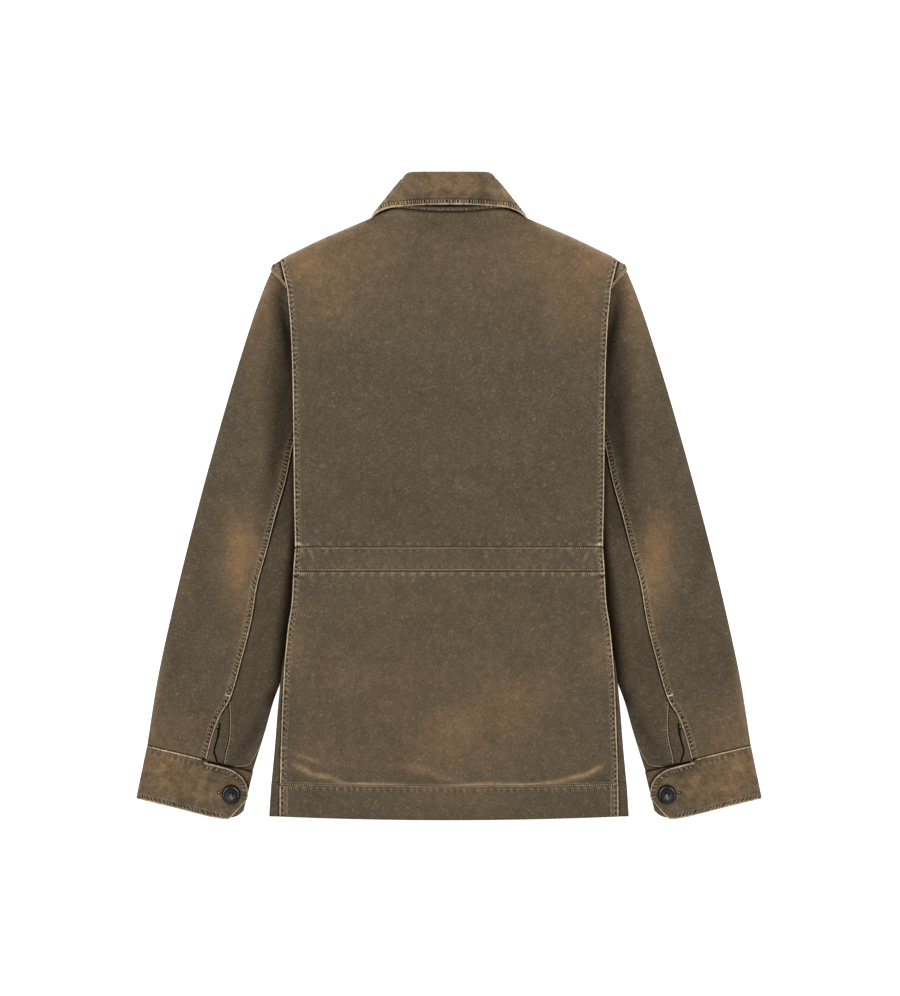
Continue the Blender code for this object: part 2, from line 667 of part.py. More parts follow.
def make_cuff_button(side, side_name):
    name = "cuff_button_" + side_name
    mesh = bpy.data.meshes.new(name)
    build = bmesh.new()
    points = [build.verts.new((r * MM, 0.0, z * MM)) for r, z in button_profile()]
    for a, b in zip(points, points[1:]):
        build.edges.new((a, b))
    build.to_mesh(mesh)
    build.free()
    button = add_object(name, mesh, HORN_BUTTON, roughness=0.35)
    bottom = 3.0 * FACED + 3.0 * GAP
    button.location = (side * BUTTON_PLACE[0] * MM, BUTTON_PLACE[1] * MM, bottom * MM)
    turn = button.modifiers.new("turn", "SCREW")
    turn.steps = BUTTON_SIDES
    turn.render_steps = BUTTON_SIDES
    turn.use_merge_vertices = True
    turn.merge_threshold = 0.00001
    turn.use_smooth_shade = True
    for i in range(4):
        x = side * BUTTON_PLACE[0] + HOLE_OFFSET * (1 if i % 2 else -1)
        y = BUTTON_PLACE[1] + HOLE_OFFSET * (1 if i > 1 else -1)
        cutter = make_hole_cutter("hole_cutter_%s_%d" % (side_name, i), x, y, bottom)
        cut = button.modifiers.new("hole_%d" % i, "BOOLEAN")
        cut.operation = "DIFFERENCE"
        cut.object = cutter


# ==== the jacket ==================================================================

for old in list(bpy.data.objects):
    bpy.data.objects.remove(old, do_unlink=True)

jacket = bpy.data.collections.new("field_jacket")
cutters = bpy.data.collections.new("cutters")
bpy.context.scene.collection.children.link(jacket)
bpy.context.scene.collection.children.link(cutters)

make_back()
make_waist_strip()
make_collar()
for side, side_name in ((-1, "left"), (1, "right")):
    make_front(side, side_name)
    make_sleeve(side, side_name)
    make_vent_placket(side, side_name)
    make_cuff(side, side_name)
    make_cuff_button(side, side_name)
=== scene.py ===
# %% [markdown]
# # A washed field jacket, laid flat on its front
# The jacket lies face down, so its back, the backs of its sleeves and the fall of its
# collar are what shows. It could be sculpted as one body, but a sewn jacket is made of
# cut pieces that overlap, and its edges, seams and shadows come from that. So each cut
# piece is its own thin wall of cloth here, laid on the plain solid that it replaces.

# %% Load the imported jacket
import math
from collections import namedtuple

import bpy
import numpy as np
from mathutils import Matrix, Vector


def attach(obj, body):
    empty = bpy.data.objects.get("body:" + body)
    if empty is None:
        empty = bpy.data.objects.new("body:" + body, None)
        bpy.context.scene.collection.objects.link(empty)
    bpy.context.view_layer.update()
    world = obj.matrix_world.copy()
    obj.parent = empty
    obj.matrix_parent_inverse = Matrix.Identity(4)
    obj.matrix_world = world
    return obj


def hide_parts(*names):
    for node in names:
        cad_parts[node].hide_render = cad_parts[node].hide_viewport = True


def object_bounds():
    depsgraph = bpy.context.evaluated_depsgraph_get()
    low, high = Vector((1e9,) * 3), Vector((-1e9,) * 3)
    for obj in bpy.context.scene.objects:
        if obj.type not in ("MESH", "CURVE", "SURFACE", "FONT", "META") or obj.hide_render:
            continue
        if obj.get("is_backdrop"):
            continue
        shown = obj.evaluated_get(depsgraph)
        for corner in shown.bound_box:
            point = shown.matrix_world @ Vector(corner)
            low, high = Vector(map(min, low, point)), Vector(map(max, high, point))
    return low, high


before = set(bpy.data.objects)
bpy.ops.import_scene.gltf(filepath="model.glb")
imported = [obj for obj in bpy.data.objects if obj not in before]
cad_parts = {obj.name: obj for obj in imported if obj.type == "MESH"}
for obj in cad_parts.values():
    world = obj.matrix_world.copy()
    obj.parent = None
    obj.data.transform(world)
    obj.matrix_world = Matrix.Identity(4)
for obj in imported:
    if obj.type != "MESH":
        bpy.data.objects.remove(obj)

MM = 0.001
SIDES = ((-1, "left"), (1, "right"))     # it lies face down, so the wearer's left is at -x
cad_low, cad_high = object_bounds()
print("solids:", sorted(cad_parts))

# %% [markdown]
# ## Cloth and how it lies
# One ply of the waxed cotton is about a millimetre thick. Where pieces lie on each
# other they are a ply and a small gap apart. They could be scaled from the picture, but it
# shows no thickness. These are the sizes of the solids, so that every dressed piece
# stays where its solid is.

# %% Thicknesses, in millimetres
CLOTH = 1.1
TURNED = 2.0           # turned up and pressed, as at the hem
FACED = 1.8            # cuffs
COLLAR_PLY = 1.5
GAP = 0.3
STEP = CLOTH + GAP
ALLOWANCE = 8.0
FOLD_STEPS = 8
FOLD_TURNS = [math.pi * i / FOLD_STEPS for i in range(FOLD_STEPS + 1)]     # round each fold
print("from one ply up to the next:", STEP, "mm")

# %% [markdown]
# ## Lines through a few points
# A pattern is drawn from a few points with a smooth curve through them. A spline object
# could do that, but pieces are also needed between the curves, so a function that gives
# a place for any share of the way is handier. Straight lines would leave corners.

# %% Smooth curves


def ease(low, high, value):
    """0 at low, 1 at high and a smooth step between them; low may be the higher."""
    share = np.clip((value - low) / (high - low), 0.0, 1.0)
    return share * share * (3.0 - 2.0 * share)


def through(keys, values):
    """A function that passes smoothly through one value, or row of values, at each key."""
    keys = np.array(keys, float)
    values = np.array(values, float).reshape(len(keys), -1)
    high = np.minimum(np.arange(len(keys)) + 1, len(keys) - 1)
    low = np.maximum(np.arange(len(keys)) - 1, 0)
    slopes = (values[high] - values[low]) / (keys[high] - keys[low])[:, None]

    def at(key):
        key = np.clip(key, keys[0], keys[-1])
        i = np.clip(np.searchsorted(keys, key, side="right") - 1, 0, len(keys) - 2)
        span = (keys[i + 1] - keys[i])[..., None]
        t = (key - keys[i])[..., None] / span
        return ((2 * t**3 - 3 * t**2 + 1) * values[i] + (t**3 - 2 * t**2 + t) * span * slopes[i]
                + (3 * t**2 - 2 * t**3) * values[i + 1] + (t**3 - t**2) * span * slopes[i + 1])

    return at


def runs_along(points):
    """How far along a line each of its points is."""
    steps = np.linalg.norm(np.diff(points, axis=0), axis=-1)
    return np.concatenate([[0.0], np.cumsum(steps)])


def smooth_curve(points):
    """A function of shares from 0 to 1 along a smooth curve through the points."""
    runs = runs_along(np.array(points, float))
    curve = through(runs, points)
    return lambda share: curve(np.clip(share, 0.0, 1.0) * runs[-1])


def straight(start, end):
    start, end = np.array(start, float), np.array(end, float)
    return lambda share: start + (end - start) * np.asarray(share, float)[..., None]


def patch(near, far, first, last):
    """Places in plan inside four curves: near and far run across, first and last along."""
    zero = np.zeros(1)
    one = np.ones(1)
    corners = near(zero), near(one), far(zero), far(one)

    def at(across, along):
        across, along = np.broadcast_arrays(across, along)
        a, b = across[..., None], along[..., None]
        ruled = near(across) * (1 - b) + far(across) * b + first(along) * (1 - a) + last(along) * a
        flat = ((corners[0] * (1 - a) + corners[1] * a) * (1 - b)
                + (corners[2] * (1 - a) + corners[3] * a) * b)
        return ruled - flat

    return at


print("eased to a quarter:", ease(0.0, 1.0, 0.25))

# %% [markdown]
# ## A wall of cloth
# A sheet on a grid of points could be thickened with Solidify, but its edge would then be
# cut square. Washed canvas has soft edges, so this function lays the two faces itself and
# joins them with a rim that bulges a little. It also stores named numbers on the points,
# such as the distance to a seam, and the cloth's finish reads them to know where to wear.

# %% Building a wall round a grid


def unit(vectors):
    return vectors / np.maximum(np.linalg.norm(vectors, axis=-1, keepdims=True), 1e-12)


def lie_of(points):
    """The direction that each point of a grid faces."""
    return unit(np.cross(np.gradient(points, axis=1), np.gradient(points, axis=0)))


def rim_of(rows, columns):
    """Grid places round the edge, in order, and each one's neighbour further in."""
    low = [(0, j) for j in range(columns)]
    right = [(i, columns - 1) for i in range(1, rows)]
    high = [(rows - 1, j) for j in range(columns - 2, -1, -1)]
    left = [(i, 0) for i in range(rows - 2, 0, -1)]
    edge = np.array(low + right + high + left)
    inner = np.clip(edge, 1, [rows - 2, columns - 2])
    return edge[:, 0] * columns + edge[:, 1], inner[:, 0] * columns + inner[:, 1]


def add_marks(mesh, marks):
    for mark, values in marks.items():
        layer = mesh.attributes.new(mark, "FLOAT", "POINT")
        layer.data.foreach_set("value", values.astype(np.float32))


def make_mesh(name, points, faces, marks, material):
    mesh = bpy.data.meshes.new(name)
    mesh.from_pydata(points * MM, [], faces)
    mesh.polygons.foreach_set("use_smooth", np.ones(len(faces), bool))
    add_marks(mesh, marks)
    piece = bpy.data.objects.new(name, mesh)
    bpy.context.scene.collection.objects.link(piece)
    piece.data.materials.append(material)
    return piece


Panel = namedtuple("Panel", "piece grid face lie")
RIM_BULGE = 0.8        # how far an edge bulges, in halves of the thickness


def lay_cloth(name, points, thickness, marks, material, side=1, relief=0.0):
    """points is a grid on the cloth's middle, in millimetres. side -1 lays its mirror
    image. relief lifts the face that looks out from the grid."""
    rows, columns = points.shape[:2]
    lie = lie_of(points)
    half = (np.zeros((rows, columns)) + thickness)[..., None] / 2.0
    relief = (np.zeros((rows, columns)) + relief)[..., None]
    face = points + lie * (half + relief)
    under = points - lie * half
    edge, inner = rim_of(rows, columns)
    flat = points.reshape(-1, 3)
    away = unit(flat[edge] - flat[inner]) * half.reshape(-1, 1)[edge] * RIM_BULGE
    rim = (face.reshape(-1, 3)[edge] + under.reshape(-1, 3)[edge]) / 2.0 + away
    everything = np.concatenate([face.reshape(-1, 3), under.reshape(-1, 3), rim]) * (side, 1, 1)
    count = rows * columns
    corner = (np.arange(rows - 1)[:, None] * columns + np.arange(columns - 1)).ravel()
    quads = np.stack([corner, corner + 1, corner + columns + 1, corner + columns], 1)
    following = np.roll(edge, -1)
    ring = 2 * count + np.arange(len(edge))
    after = np.roll(ring, -1)
    faces = np.concatenate([
        quads,
        quads[:, ::-1] + count,
        np.stack([following, edge, ring, after], 1),
        np.stack([after, ring, edge + count, following + count], 1)])
    if side < 0:
        faces = faces[:, ::-1]
    spread = {}
    steps = np.linalg.norm(np.diff(points, axis=1), axis=-1)
    rises = np.linalg.norm(np.diff(points, axis=0), axis=-1)
    marks = dict(marks)
    marks["weft"] = np.concatenate([np.zeros((rows, 1)), np.cumsum(steps, 1)], 1)
    marks["warp"] = np.concatenate([np.zeros((1, columns)), np.cumsum(rises, 0)], 0)
    for mark, values in marks.items():
        values = (np.zeros((rows, columns)) + values).ravel()
        spread[mark] = np.concatenate([values, values, values[edge]])
    piece = make_mesh(name, everything, faces.tolist(), spread, material)
    return Panel(piece, points, face * (side, 1, 1), lie * (side, 1, 1))


def folded_over(points):
    """The same points with the left half laid over the right one."""
    return np.concatenate([np.abs(points[..., :1]), points[..., 1:]], -1)


def faces_of(*panels):
    return sum(len(panel.piece.data.polygons) for panel in panels)


def cut_of(points):
    """The width, length and area of the cloth that a grid of points stands for, in metres."""
    across = np.diff(points, axis=1)
    along = np.diff(points, axis=0)
    width = np.linalg.norm(across, axis=-1).sum(1).max()
    length = np.linalg.norm(along, axis=-1).sum(0).max()
    area = np.linalg.norm(np.cross(across[:-1], along[:, :-1]), axis=-1).sum()
    return (float(width * MM), float(length * MM)), float(area * MM * MM)


def near_line(points, line):
    """How far each point is from a line in plan, and how far along the line that is."""
    nearest = np.full(points.shape[:-1], 1e9)
    along = np.zeros(points.shape[:-1])
    start = 0.0
    for a, b in zip(line[:-1], line[1:]):
        span = b - a
        length = np.hypot(*span)
        share = np.clip((points[..., :2] - a) @ span / length**2, 0.0, 1.0)
        away = points[..., :2] - a - share[..., None] * span
        distance = np.hypot(away[..., 0], away[..., 1])
        closer = distance < nearest
        nearest = np.where(closer, distance, nearest)
        along = np.where(closer, start + share * length, along)
        start += length
    return nearest, along


print("points round a grid of 3 by 4:", len(rim_of(3, 4)[0]))

# %% [markdown]
# ## Finish numbers from nodes
# The finish needs sums such as "light within two millimetres of the edge, unevenly". Node
# by node these are long to write, so a small class lets a node's output be used like a
# number. A painted image would be simpler, but it would blur up close and fit one view.

# %% A number that nodes work out


class Field:
    """The output of a shader node, with arithmetic."""

    def __init__(self, tree, socket):
        self.tree = tree
        self.socket = socket

    def math(self, operation, *others, clamp=False):
        node = self.tree.nodes.new("ShaderNodeMath")
        node.operation = operation
        node.use_clamp = clamp
        self.tree.links.new(self.socket, node.inputs[0])
        for place, other in enumerate(others, 1):
            feed(self.tree, other, node.inputs[place])
        return Field(self.tree, node.outputs[0])

    def __add__(self, other):
        return self.math("ADD", other)

    def __sub__(self, other):
        return self.math("SUBTRACT", other)

    def __mul__(self, other):
        return self.math("MULTIPLY", other)

    def far(self, other):
        """The distance from another number."""
        return (self - other).math("ABSOLUTE")

    def sine(self):
        return (self * (2.0 * math.pi)).math("SINE")

    def over(self, low, high):
        """0 below low and 1 above high, smoothly; low may be the higher."""
        node = self.tree.nodes.new("ShaderNodeMapRange")
        node.interpolation_type = "SMOOTHSTEP"
        backwards = low > high
        self.tree.links.new(self.socket, node.inputs["Value"])
        node.inputs["From Min"].default_value = min(low, high)
        node.inputs["From Max"].default_value = max(low, high)
        node.inputs["To Min"].default_value = 1.0 if backwards else 0.0
        node.inputs["To Max"].default_value = 0.0 if backwards else 1.0
        return Field(self.tree, node.outputs["Result"])


def feed(tree, value, socket):
    if isinstance(value, Field):
        tree.links.new(value.socket, socket)
    else:
        socket.default_value = value


def mark(tree, name):
    """A number stored on the cloth's points."""
    node = tree.nodes.new("ShaderNodeAttribute")
    node.attribute_name = name
    return Field(tree, node.outputs["Fac"])


def speckle(tree, size, detail=2.0, seed=0.0, distortion=0.0, lean=None, stretch=1.0):
    """Noise in space; size is in millimetres. It can be stretched in a direction that
    leans by so many degrees from across the jacket."""
    place = tree.nodes.new("ShaderNodeTexCoord").outputs["Object"]
    if lean is not None:
        turn = tree.nodes.new("ShaderNodeMapping")
        turn.vector_type = "TEXTURE"
        turn.inputs["Rotation"].default_value = (0.0, 0.0, math.radians(lean))
        turn.inputs["Scale"].default_value = (stretch, 1.0, 1.0)
        tree.links.new(place, turn.inputs["Vector"])
        place = turn.outputs["Vector"]
    node = tree.nodes.new("ShaderNodeTexNoise")
    node.noise_dimensions = "4D"
    node.inputs["W"].default_value = seed
    node.inputs["Scale"].default_value = 1.0 / (size * MM)
    node.inputs["Detail"].default_value = detail
    node.inputs["Distortion"].default_value = distortion
    tree.links.new(place, node.inputs["Vector"])
    return Field(tree, node.outputs["Fac"])


def unevenness(run, size, seed):
    """Noise along a seam; size is in millimetres."""
    node = run.tree.nodes.new("ShaderNodeTexNoise")
    node.noise_dimensions = "1D"
    node.inputs["Scale"].default_value = 1.0
    node.inputs["Detail"].default_value = 1.0
    run.tree.links.new((run * (1.0 / size) + seed).socket, node.inputs["W"])
    return Field(run.tree, node.outputs["Fac"])


def mix(tree, share, a, b, blend="MIX"):
    """A colour that goes from a to b."""
    node = tree.nodes.new("ShaderNodeMix")
    node.data_type = "RGBA"
    node.blend_type = blend
    feed(tree, share, node.inputs["Factor"])
    for value, socket in ((a, node.inputs["A"]), (b, node.inputs["B"])):
        if isinstance(value, tuple):
            socket.default_value = (*value, 1.0)
        else:
            tree.links.new(value, socket)
    return node.outputs["Result"]


def new_material(name):
    material = bpy.data.materials.new(name)
    material.use_nodes = True
    return material, material.node_tree, material.node_tree.nodes["Principled BSDF"]


def add_bump(tree, shader, height, strength, depth):
    """Fine relief; depth is in millimetres."""
    bump = tree.nodes.new("ShaderNodeBump")
    bump.inputs["Strength"].default_value = strength
    bump.inputs["Distance"].default_value = depth * MM
    tree.links.new(height.socket, bump.inputs["Height"])
    tree.links.new(bump.outputs["Normal"], shader.inputs["Normal"])


# %% [markdown]
# ## Wear along a seam
# A seam that is sewn and then washed shrinks along its thread. The cloth puckers into
# slits and ribs a few millimetres apart, and the ribs and the folded edge lose their dye.
# The shade in the slits and in the lines beside a seam is painted dark. Modelling each
# pucker would take millions of faces. Here each seam has a row of numbers that say where it
# wears and where it is painted dark, and waves along it draw the slits and ribs.

# %% Seam wear
# ridge: width of the worn edge; light: how worn it is; rows: the rows of slits, each with
# its distance from the edge, half its height, how dark its painted shade is and its pitch;
# slant: shift of a slit for each millimetre from the edge; ribs: how light they are between
# the slits; lines: steady lines, with distance, half-width and how light they are (below
# zero, how dark, as painted shade); narrow: how much narrower than its ribs a slit is
Wear = namedtuple("Wear", "mark ridge light rows slant ribs lines narrow", defaults=(0.0,))


def worn_seam(tree, wear, seed):
    """Three numbers for a seam: how light, how dark with painted shade, and how high the cloth is
    there.
    """
    distance = mark(tree, wear.mark)
    run = mark(tree, wear.mark + "_run")
    jitter = unevenness(run, 15.0, seed) * 6.4 + unevenness(run, 6.0, seed + 5.9) * 1.8
    wander = unevenness(run, 14.0, seed + 3.3) * 1.4 - 0.7
    strength = unevenness(run, 30.0, seed + 31.7).over(0.25, 0.55) * 0.6 + 0.4
    patchy = unevenness(run, 4.0, seed + 77.1).over(0.2, 0.65)
    spread = unevenness(run, 45.0, seed + 9.1) * 1.0 + 0.60
    light = (distance * spread).over(wear.ridge, 0.4 * wear.ridge) * distance.over(-0.6, 0.2)
    light = light * (patchy * 0.6 + 0.4) * wear.light
    dark = distance * 0.0
    for i, (row, reach, deep, pitch) in enumerate(wear.rows):
        wave = ((run + jitter + distance * wear.slant) * (1.0 / pitch) + 0.37 * i).sine()
        off = distance + wander * 0.6
        slit = off.far(row).over(reach, 0.3 * reach) * strength * (patchy * 0.4 + 0.6)
        slit = slit * wave.over(wear.narrow - 0.25, wear.narrow + 0.45)
        rib = off.far(row).over(1.5 * reach, 0.6 * reach) * wave.over(0.0, -0.7)
        light = light + rib * (patchy * 0.6 + 0.4) * wear.ribs
        dark = dark + slit * deep
    for at, half, strong in wear.lines:
        line = (distance + wander * 0.25).far(at).over(half, 0.25 * half)
        line = line * (patchy * 0.6 + 0.4) * abs(strong)
        if strong > 0:
            light = light + line
        else:
            dark = dark + line
    height = light * 0.45 - dark
    return light, dark, height


# %% [markdown]
# ## The canvas
# The cloth is a waxed cotton canvas, dyed a brown olive and washed. Up close it has a
# plain weave, loose fibres that catch the light, and a mottled dye. From further off it
# is warm and pale where it has been rubbed, and almost black in its folds and gaps, where
# shade is painted into its colour. An image could hold all that. Noise of several sizes
# stays sharp at any distance instead.

# %% Colours, as linear red, green and blue, and the canvas
OLIVE = (0.0792, 0.0620, 0.0411)
RUST = (0.1950, 0.1200, 0.0600)        # rubbed patches
TAN = (0.5600, 0.4250, 0.2850)         # worn ridges
# painted shade: the colour that folds, gaps, slits and the shadows of edges are darkened to
SHADE_COLOUR = (0.0062, 0.0039, 0.0015)         # the deepest folds
THREAD = (0.5600, 0.4400, 0.3000)
WEAVE = 0.85                           # millimetres from yarn to yarn


def washed_canvas(name, wears=(), blotchy=1.0):
    """wears: the seams that show on the piece; blotchy: how uneven its dye is."""
    material, tree, shader = new_material(name)
    grain = speckle(tree, 1.3, 4.0, 1.0)
    mottle = speckle(tree, 9.0, 2.0, 2.0)
    cloud = speckle(tree, 55.0, 2.0, 3.0)
    drift = speckle(tree, 22.0, 2.0, 15.0)
    fibre = speckle(tree, 1.1, 1.0, 4.0, 0.5, 40.0, 3.2).over(0.53, 0.74)
    lint = speckle(tree, 1.05, 1.0, 8.0, 0.5, -48.0, 3.4).over(0.54, 0.75)
    curl = speckle(tree, 7.0, 1.0, 6.0, 0.9).far(0.5).over(0.016, 0.004)
    curl = curl * speckle(tree, 8.0, 1.0, 5.0).over(0.50, 0.62)
    hollow = speckle(tree, 1.3, 2.0, 9.0, 0.3).over(0.49, 0.30)
    light = fibre * 0.10 + lint * 0.10 + curl * 0.15
    dark = hollow * 0.24
    height = None
    for i, wear in enumerate(wears):
        more, less, high = worn_seam(tree, wear, 3.0 + 17.0 * i)
        light = light + more
        dark = dark + less
        height = high if height is None else height + high
    fade = mark(tree, "fade") * (mottle * 0.7 + grain * 0.8 + 0.25)
    fade = fade + drift.over(0.42, 0.72) * (0.055 * blotchy)
    colour = mix(tree, fade.math("ADD", 0.0, clamp=True), OLIVE, RUST)
    light = light + mark(tree, "pale") * (mottle * 0.5 + grain * 0.5 + 0.5)
    colour = mix(tree, light.math("ADD", 0.0, clamp=True), colour, TAN)
    shade = grain * 0.95 + mottle * (0.42 * blotchy) + cloud * 0.34 + (0.355 - 0.21 * blotchy)
    colour = mix(tree, 1.0, colour, shade.socket, "MULTIPLY")
    # painted shade: the shade of folds, gaps and edges, and the seams' dark slits and lines, darken
    # the colour
    shade_mix = mark(tree, "deep") + dark
    colour = mix(tree, shade_mix.math("ADD", 0.0, clamp=True), colour, SHADE_COLOUR)
    tree.links.new(colour, shader.inputs["Base Color"])
    warp = (mark(tree, "warp") * (1.0 / WEAVE)).sine()
    weft = (mark(tree, "weft") * (1.0 / WEAVE)).sine()
    relief = warp * weft * 0.10 + grain * 0.8 + (fibre + lint) * 0.3 + mottle * (0.6 * blotchy)
    if height is not None:
        relief = relief + height * 1.9
    add_bump(tree, shader, relief, 0.75, 0.5)
    tree.links.new((grain * 0.12 + 0.82).socket, shader.inputs["Roughness"])
    shader.inputs["Specular IOR Level"].default_value = 0.03
    return material


# %% [markdown]
# ## Each seam's wear
# A felled side seam, a turned hem and the edge of a collar wear in their own ways. Each is
# one line of numbers, in millimetres from its seam or edge, so that one canvas serves all
# the pieces and a seam can be tried paler or darker without touching the nodes.

# %% Wear of the seams, and the canvases
SIDE_WEAR = Wear("side", 1.35, 1.2, ((2.9, 1.25, 1.0, 6.3), (5.6, 0.8, 0.35, 5.7)), 0.25, 0.26,
                 ((4.3, 0.5, 0.16), (1.7, 0.5, -0.30), (7.1, 0.8, 0.16)), 0.22)
SIDE_HEM_WEAR = Wear("side_hem", 1.3, 1.1, ((3.0, 1.2, 0.9, 6.2), (6.2, 0.8, 0.35, 5.6)), 0.1,
                     0.24, ((2.0, 0.6, -0.30), (4.8, 0.8, 0.24), (8.2, 1.0, 0.30)), 0.15)
HEM_WEAR = Wear("hem", 0.0, 0.0, ((-3.6, 2.4, 0.16, 8.0),), 0.2, 0.10,
                ((0.0, 1.15, -0.68), (2.3, 1.1, 0.12), (-2.6, 1.4, 0.05)))
FRONT_HEM_WEAR = Wear("hem", 0.0, 0.0, (), 0.2, 0.0, ((0.0, 1.0, -0.45), (1.8, 0.6, 0.14)))
STRIP_WEAR = Wear("strip", 0.0, 0.0, ((4.8, 1.8, 0.14, 10.0),), 0.1, 0.06,
                  ((0.1, 0.8, -0.30), (1.8, 0.7, -0.42)))
BELOW_STRIP_WEAR = Wear("below_strip", 0.0, 0.0, ((3.6, 2.4, 0.10, 12.0),), 0.2, 0.14,
                        ((2.6, 1.2, 0.10),))
ABOVE_STRIP_WEAR = Wear("above_strip", 0.0, 0.0, ((3.4, 1.8, 0.10, 12.0),), 0.2, 0.10,
                        ((0.3, 0.9, -0.20),))
STAND_WEAR = Wear("strip", 0.0, 0.0, ((2.6, 1.2, 0.30, 4.0),), 0.5, 0.24, ((0.3, 0.6, -0.45),))
SEAM_WEAR = Wear("seam", 1.15, 1.0, ((3.3, 1.2, 0.95, 4.9), (5.7, 0.8, 0.40, 4.7)), 0.5, 0.30,
                 ((1.8, 0.45, -0.50), (4.4, 2.2, -0.15), (7.4, 0.6, 0.20)), 0.2)
SLEEVE_END_WEAR = Wear("cuff_seam", 0.0, 0.0, (), 0.2, 0.0, ((0.0, 1.5, -0.80),))
COLLAR_WEAR = Wear("edge", 2.1, 0.90, ((3.9, 1.6, 0.95, 2.9),), 0.12, 0.62,
                   ((6.4, 0.7, -0.42), (9.6, 1.2, 0.08)), 0.1)
CUFF_WEAR = Wear("edge", 1.0, 0.95, (), 0.55, 0.0, ((7.2, 0.7, -0.16),))
CUFF_HEM_WEAR = Wear("hem_edge", 0.0, 0.0, ((3.2, 2.1, 0.80, 4.6),), 0.9, 0.24,
                     ((6.6, 0.9, 0.14),), 0.2)
CUFF_TAB_WEAR = Wear("tab_edge", 0.0, 0.0, ((4.3, 1.5, 0.90, 5.5),), 0.5, 0.26,
                     ((2.4, 0.6, -0.30), (6.8, 0.8, -0.28)), 0.1)
CUFF_TOP_WEAR = Wear("band_top", 1.15, 1.05, ((2.3, 0.8, 0.75, 2.9), (6.2, 3.4, 0.32, 7.0)), 0.1,
                     0.09, ())
FOLD_WEAR = Wear("seam", 0.7, 0.95, ((6.4, 0.9, 0.5, 5.0),), 0.4, 0.10,
                 ((1.2, 0.5, -0.95), (2.1, 0.5, 0.80), (3.4, 0.7, -0.45)))
UNDER_WEAR = Wear("seam", 0.0, 0.0, ((2.4, 0.8, 0.30, 3.6),), 0.3, 0.20,
                  ((0.0, 0.6, 0.72), (-1.5, 0.6, -0.95), (1.4, 0.4, -0.30)))
INNER_WEAR = Wear("inner", 0.0, 0.0, (), 0.3, 0.0, ((0.0, 0.6, 0.55), (-1.5, 0.6, -0.65)))

body_canvas = washed_canvas("body_canvas", (
    SIDE_WEAR, SIDE_HEM_WEAR, HEM_WEAR, ABOVE_STRIP_WEAR, BELOW_STRIP_WEAR))
strip_canvas = washed_canvas("strip_canvas", (SIDE_WEAR, STRIP_WEAR))
sleeve_canvas = washed_canvas("sleeve_canvas", (SEAM_WEAR, SLEEVE_END_WEAR))
under_canvas = washed_canvas("under_canvas", (UNDER_WEAR, INNER_WEAR, SLEEVE_END_WEAR))
collar_canvas = washed_canvas("collar_canvas", (COLLAR_WEAR,), 2.6)
stand_canvas = washed_canvas("stand_canvas", (STAND_WEAR,))
cuff_canvas = washed_canvas("cuff_canvas", (
    CUFF_WEAR, CUFF_HEM_WEAR, CUFF_TAB_WEAR, CUFF_TOP_WEAR), 3.0)
front_canvas = washed_canvas("front_canvas", (FOLD_WEAR, FRONT_HEM_WEAR))
plain_canvas = washed_canvas("plain_canvas")
print("canvas finishes:", len([m for m in bpy.data.materials if m.name.endswith("canvas")]))

# %% [markdown]
# ## Where it has faded
# Rubbing and washing leave soft warm patches on the shoulders, the elbows, the seat and
# the cuffs. They could be painted by hand on each piece. A list of soft ovals is easier
# to adjust, and the pieces that meet under one patch then agree at their seam.

# %% Faded patches and soft creases
Oval = namedtuple("Oval", "x y across along turn strength")


def on_both_sides(*patches):
    return patches + tuple(p._replace(x=-p.x, turn=-p.turn) for p in patches)


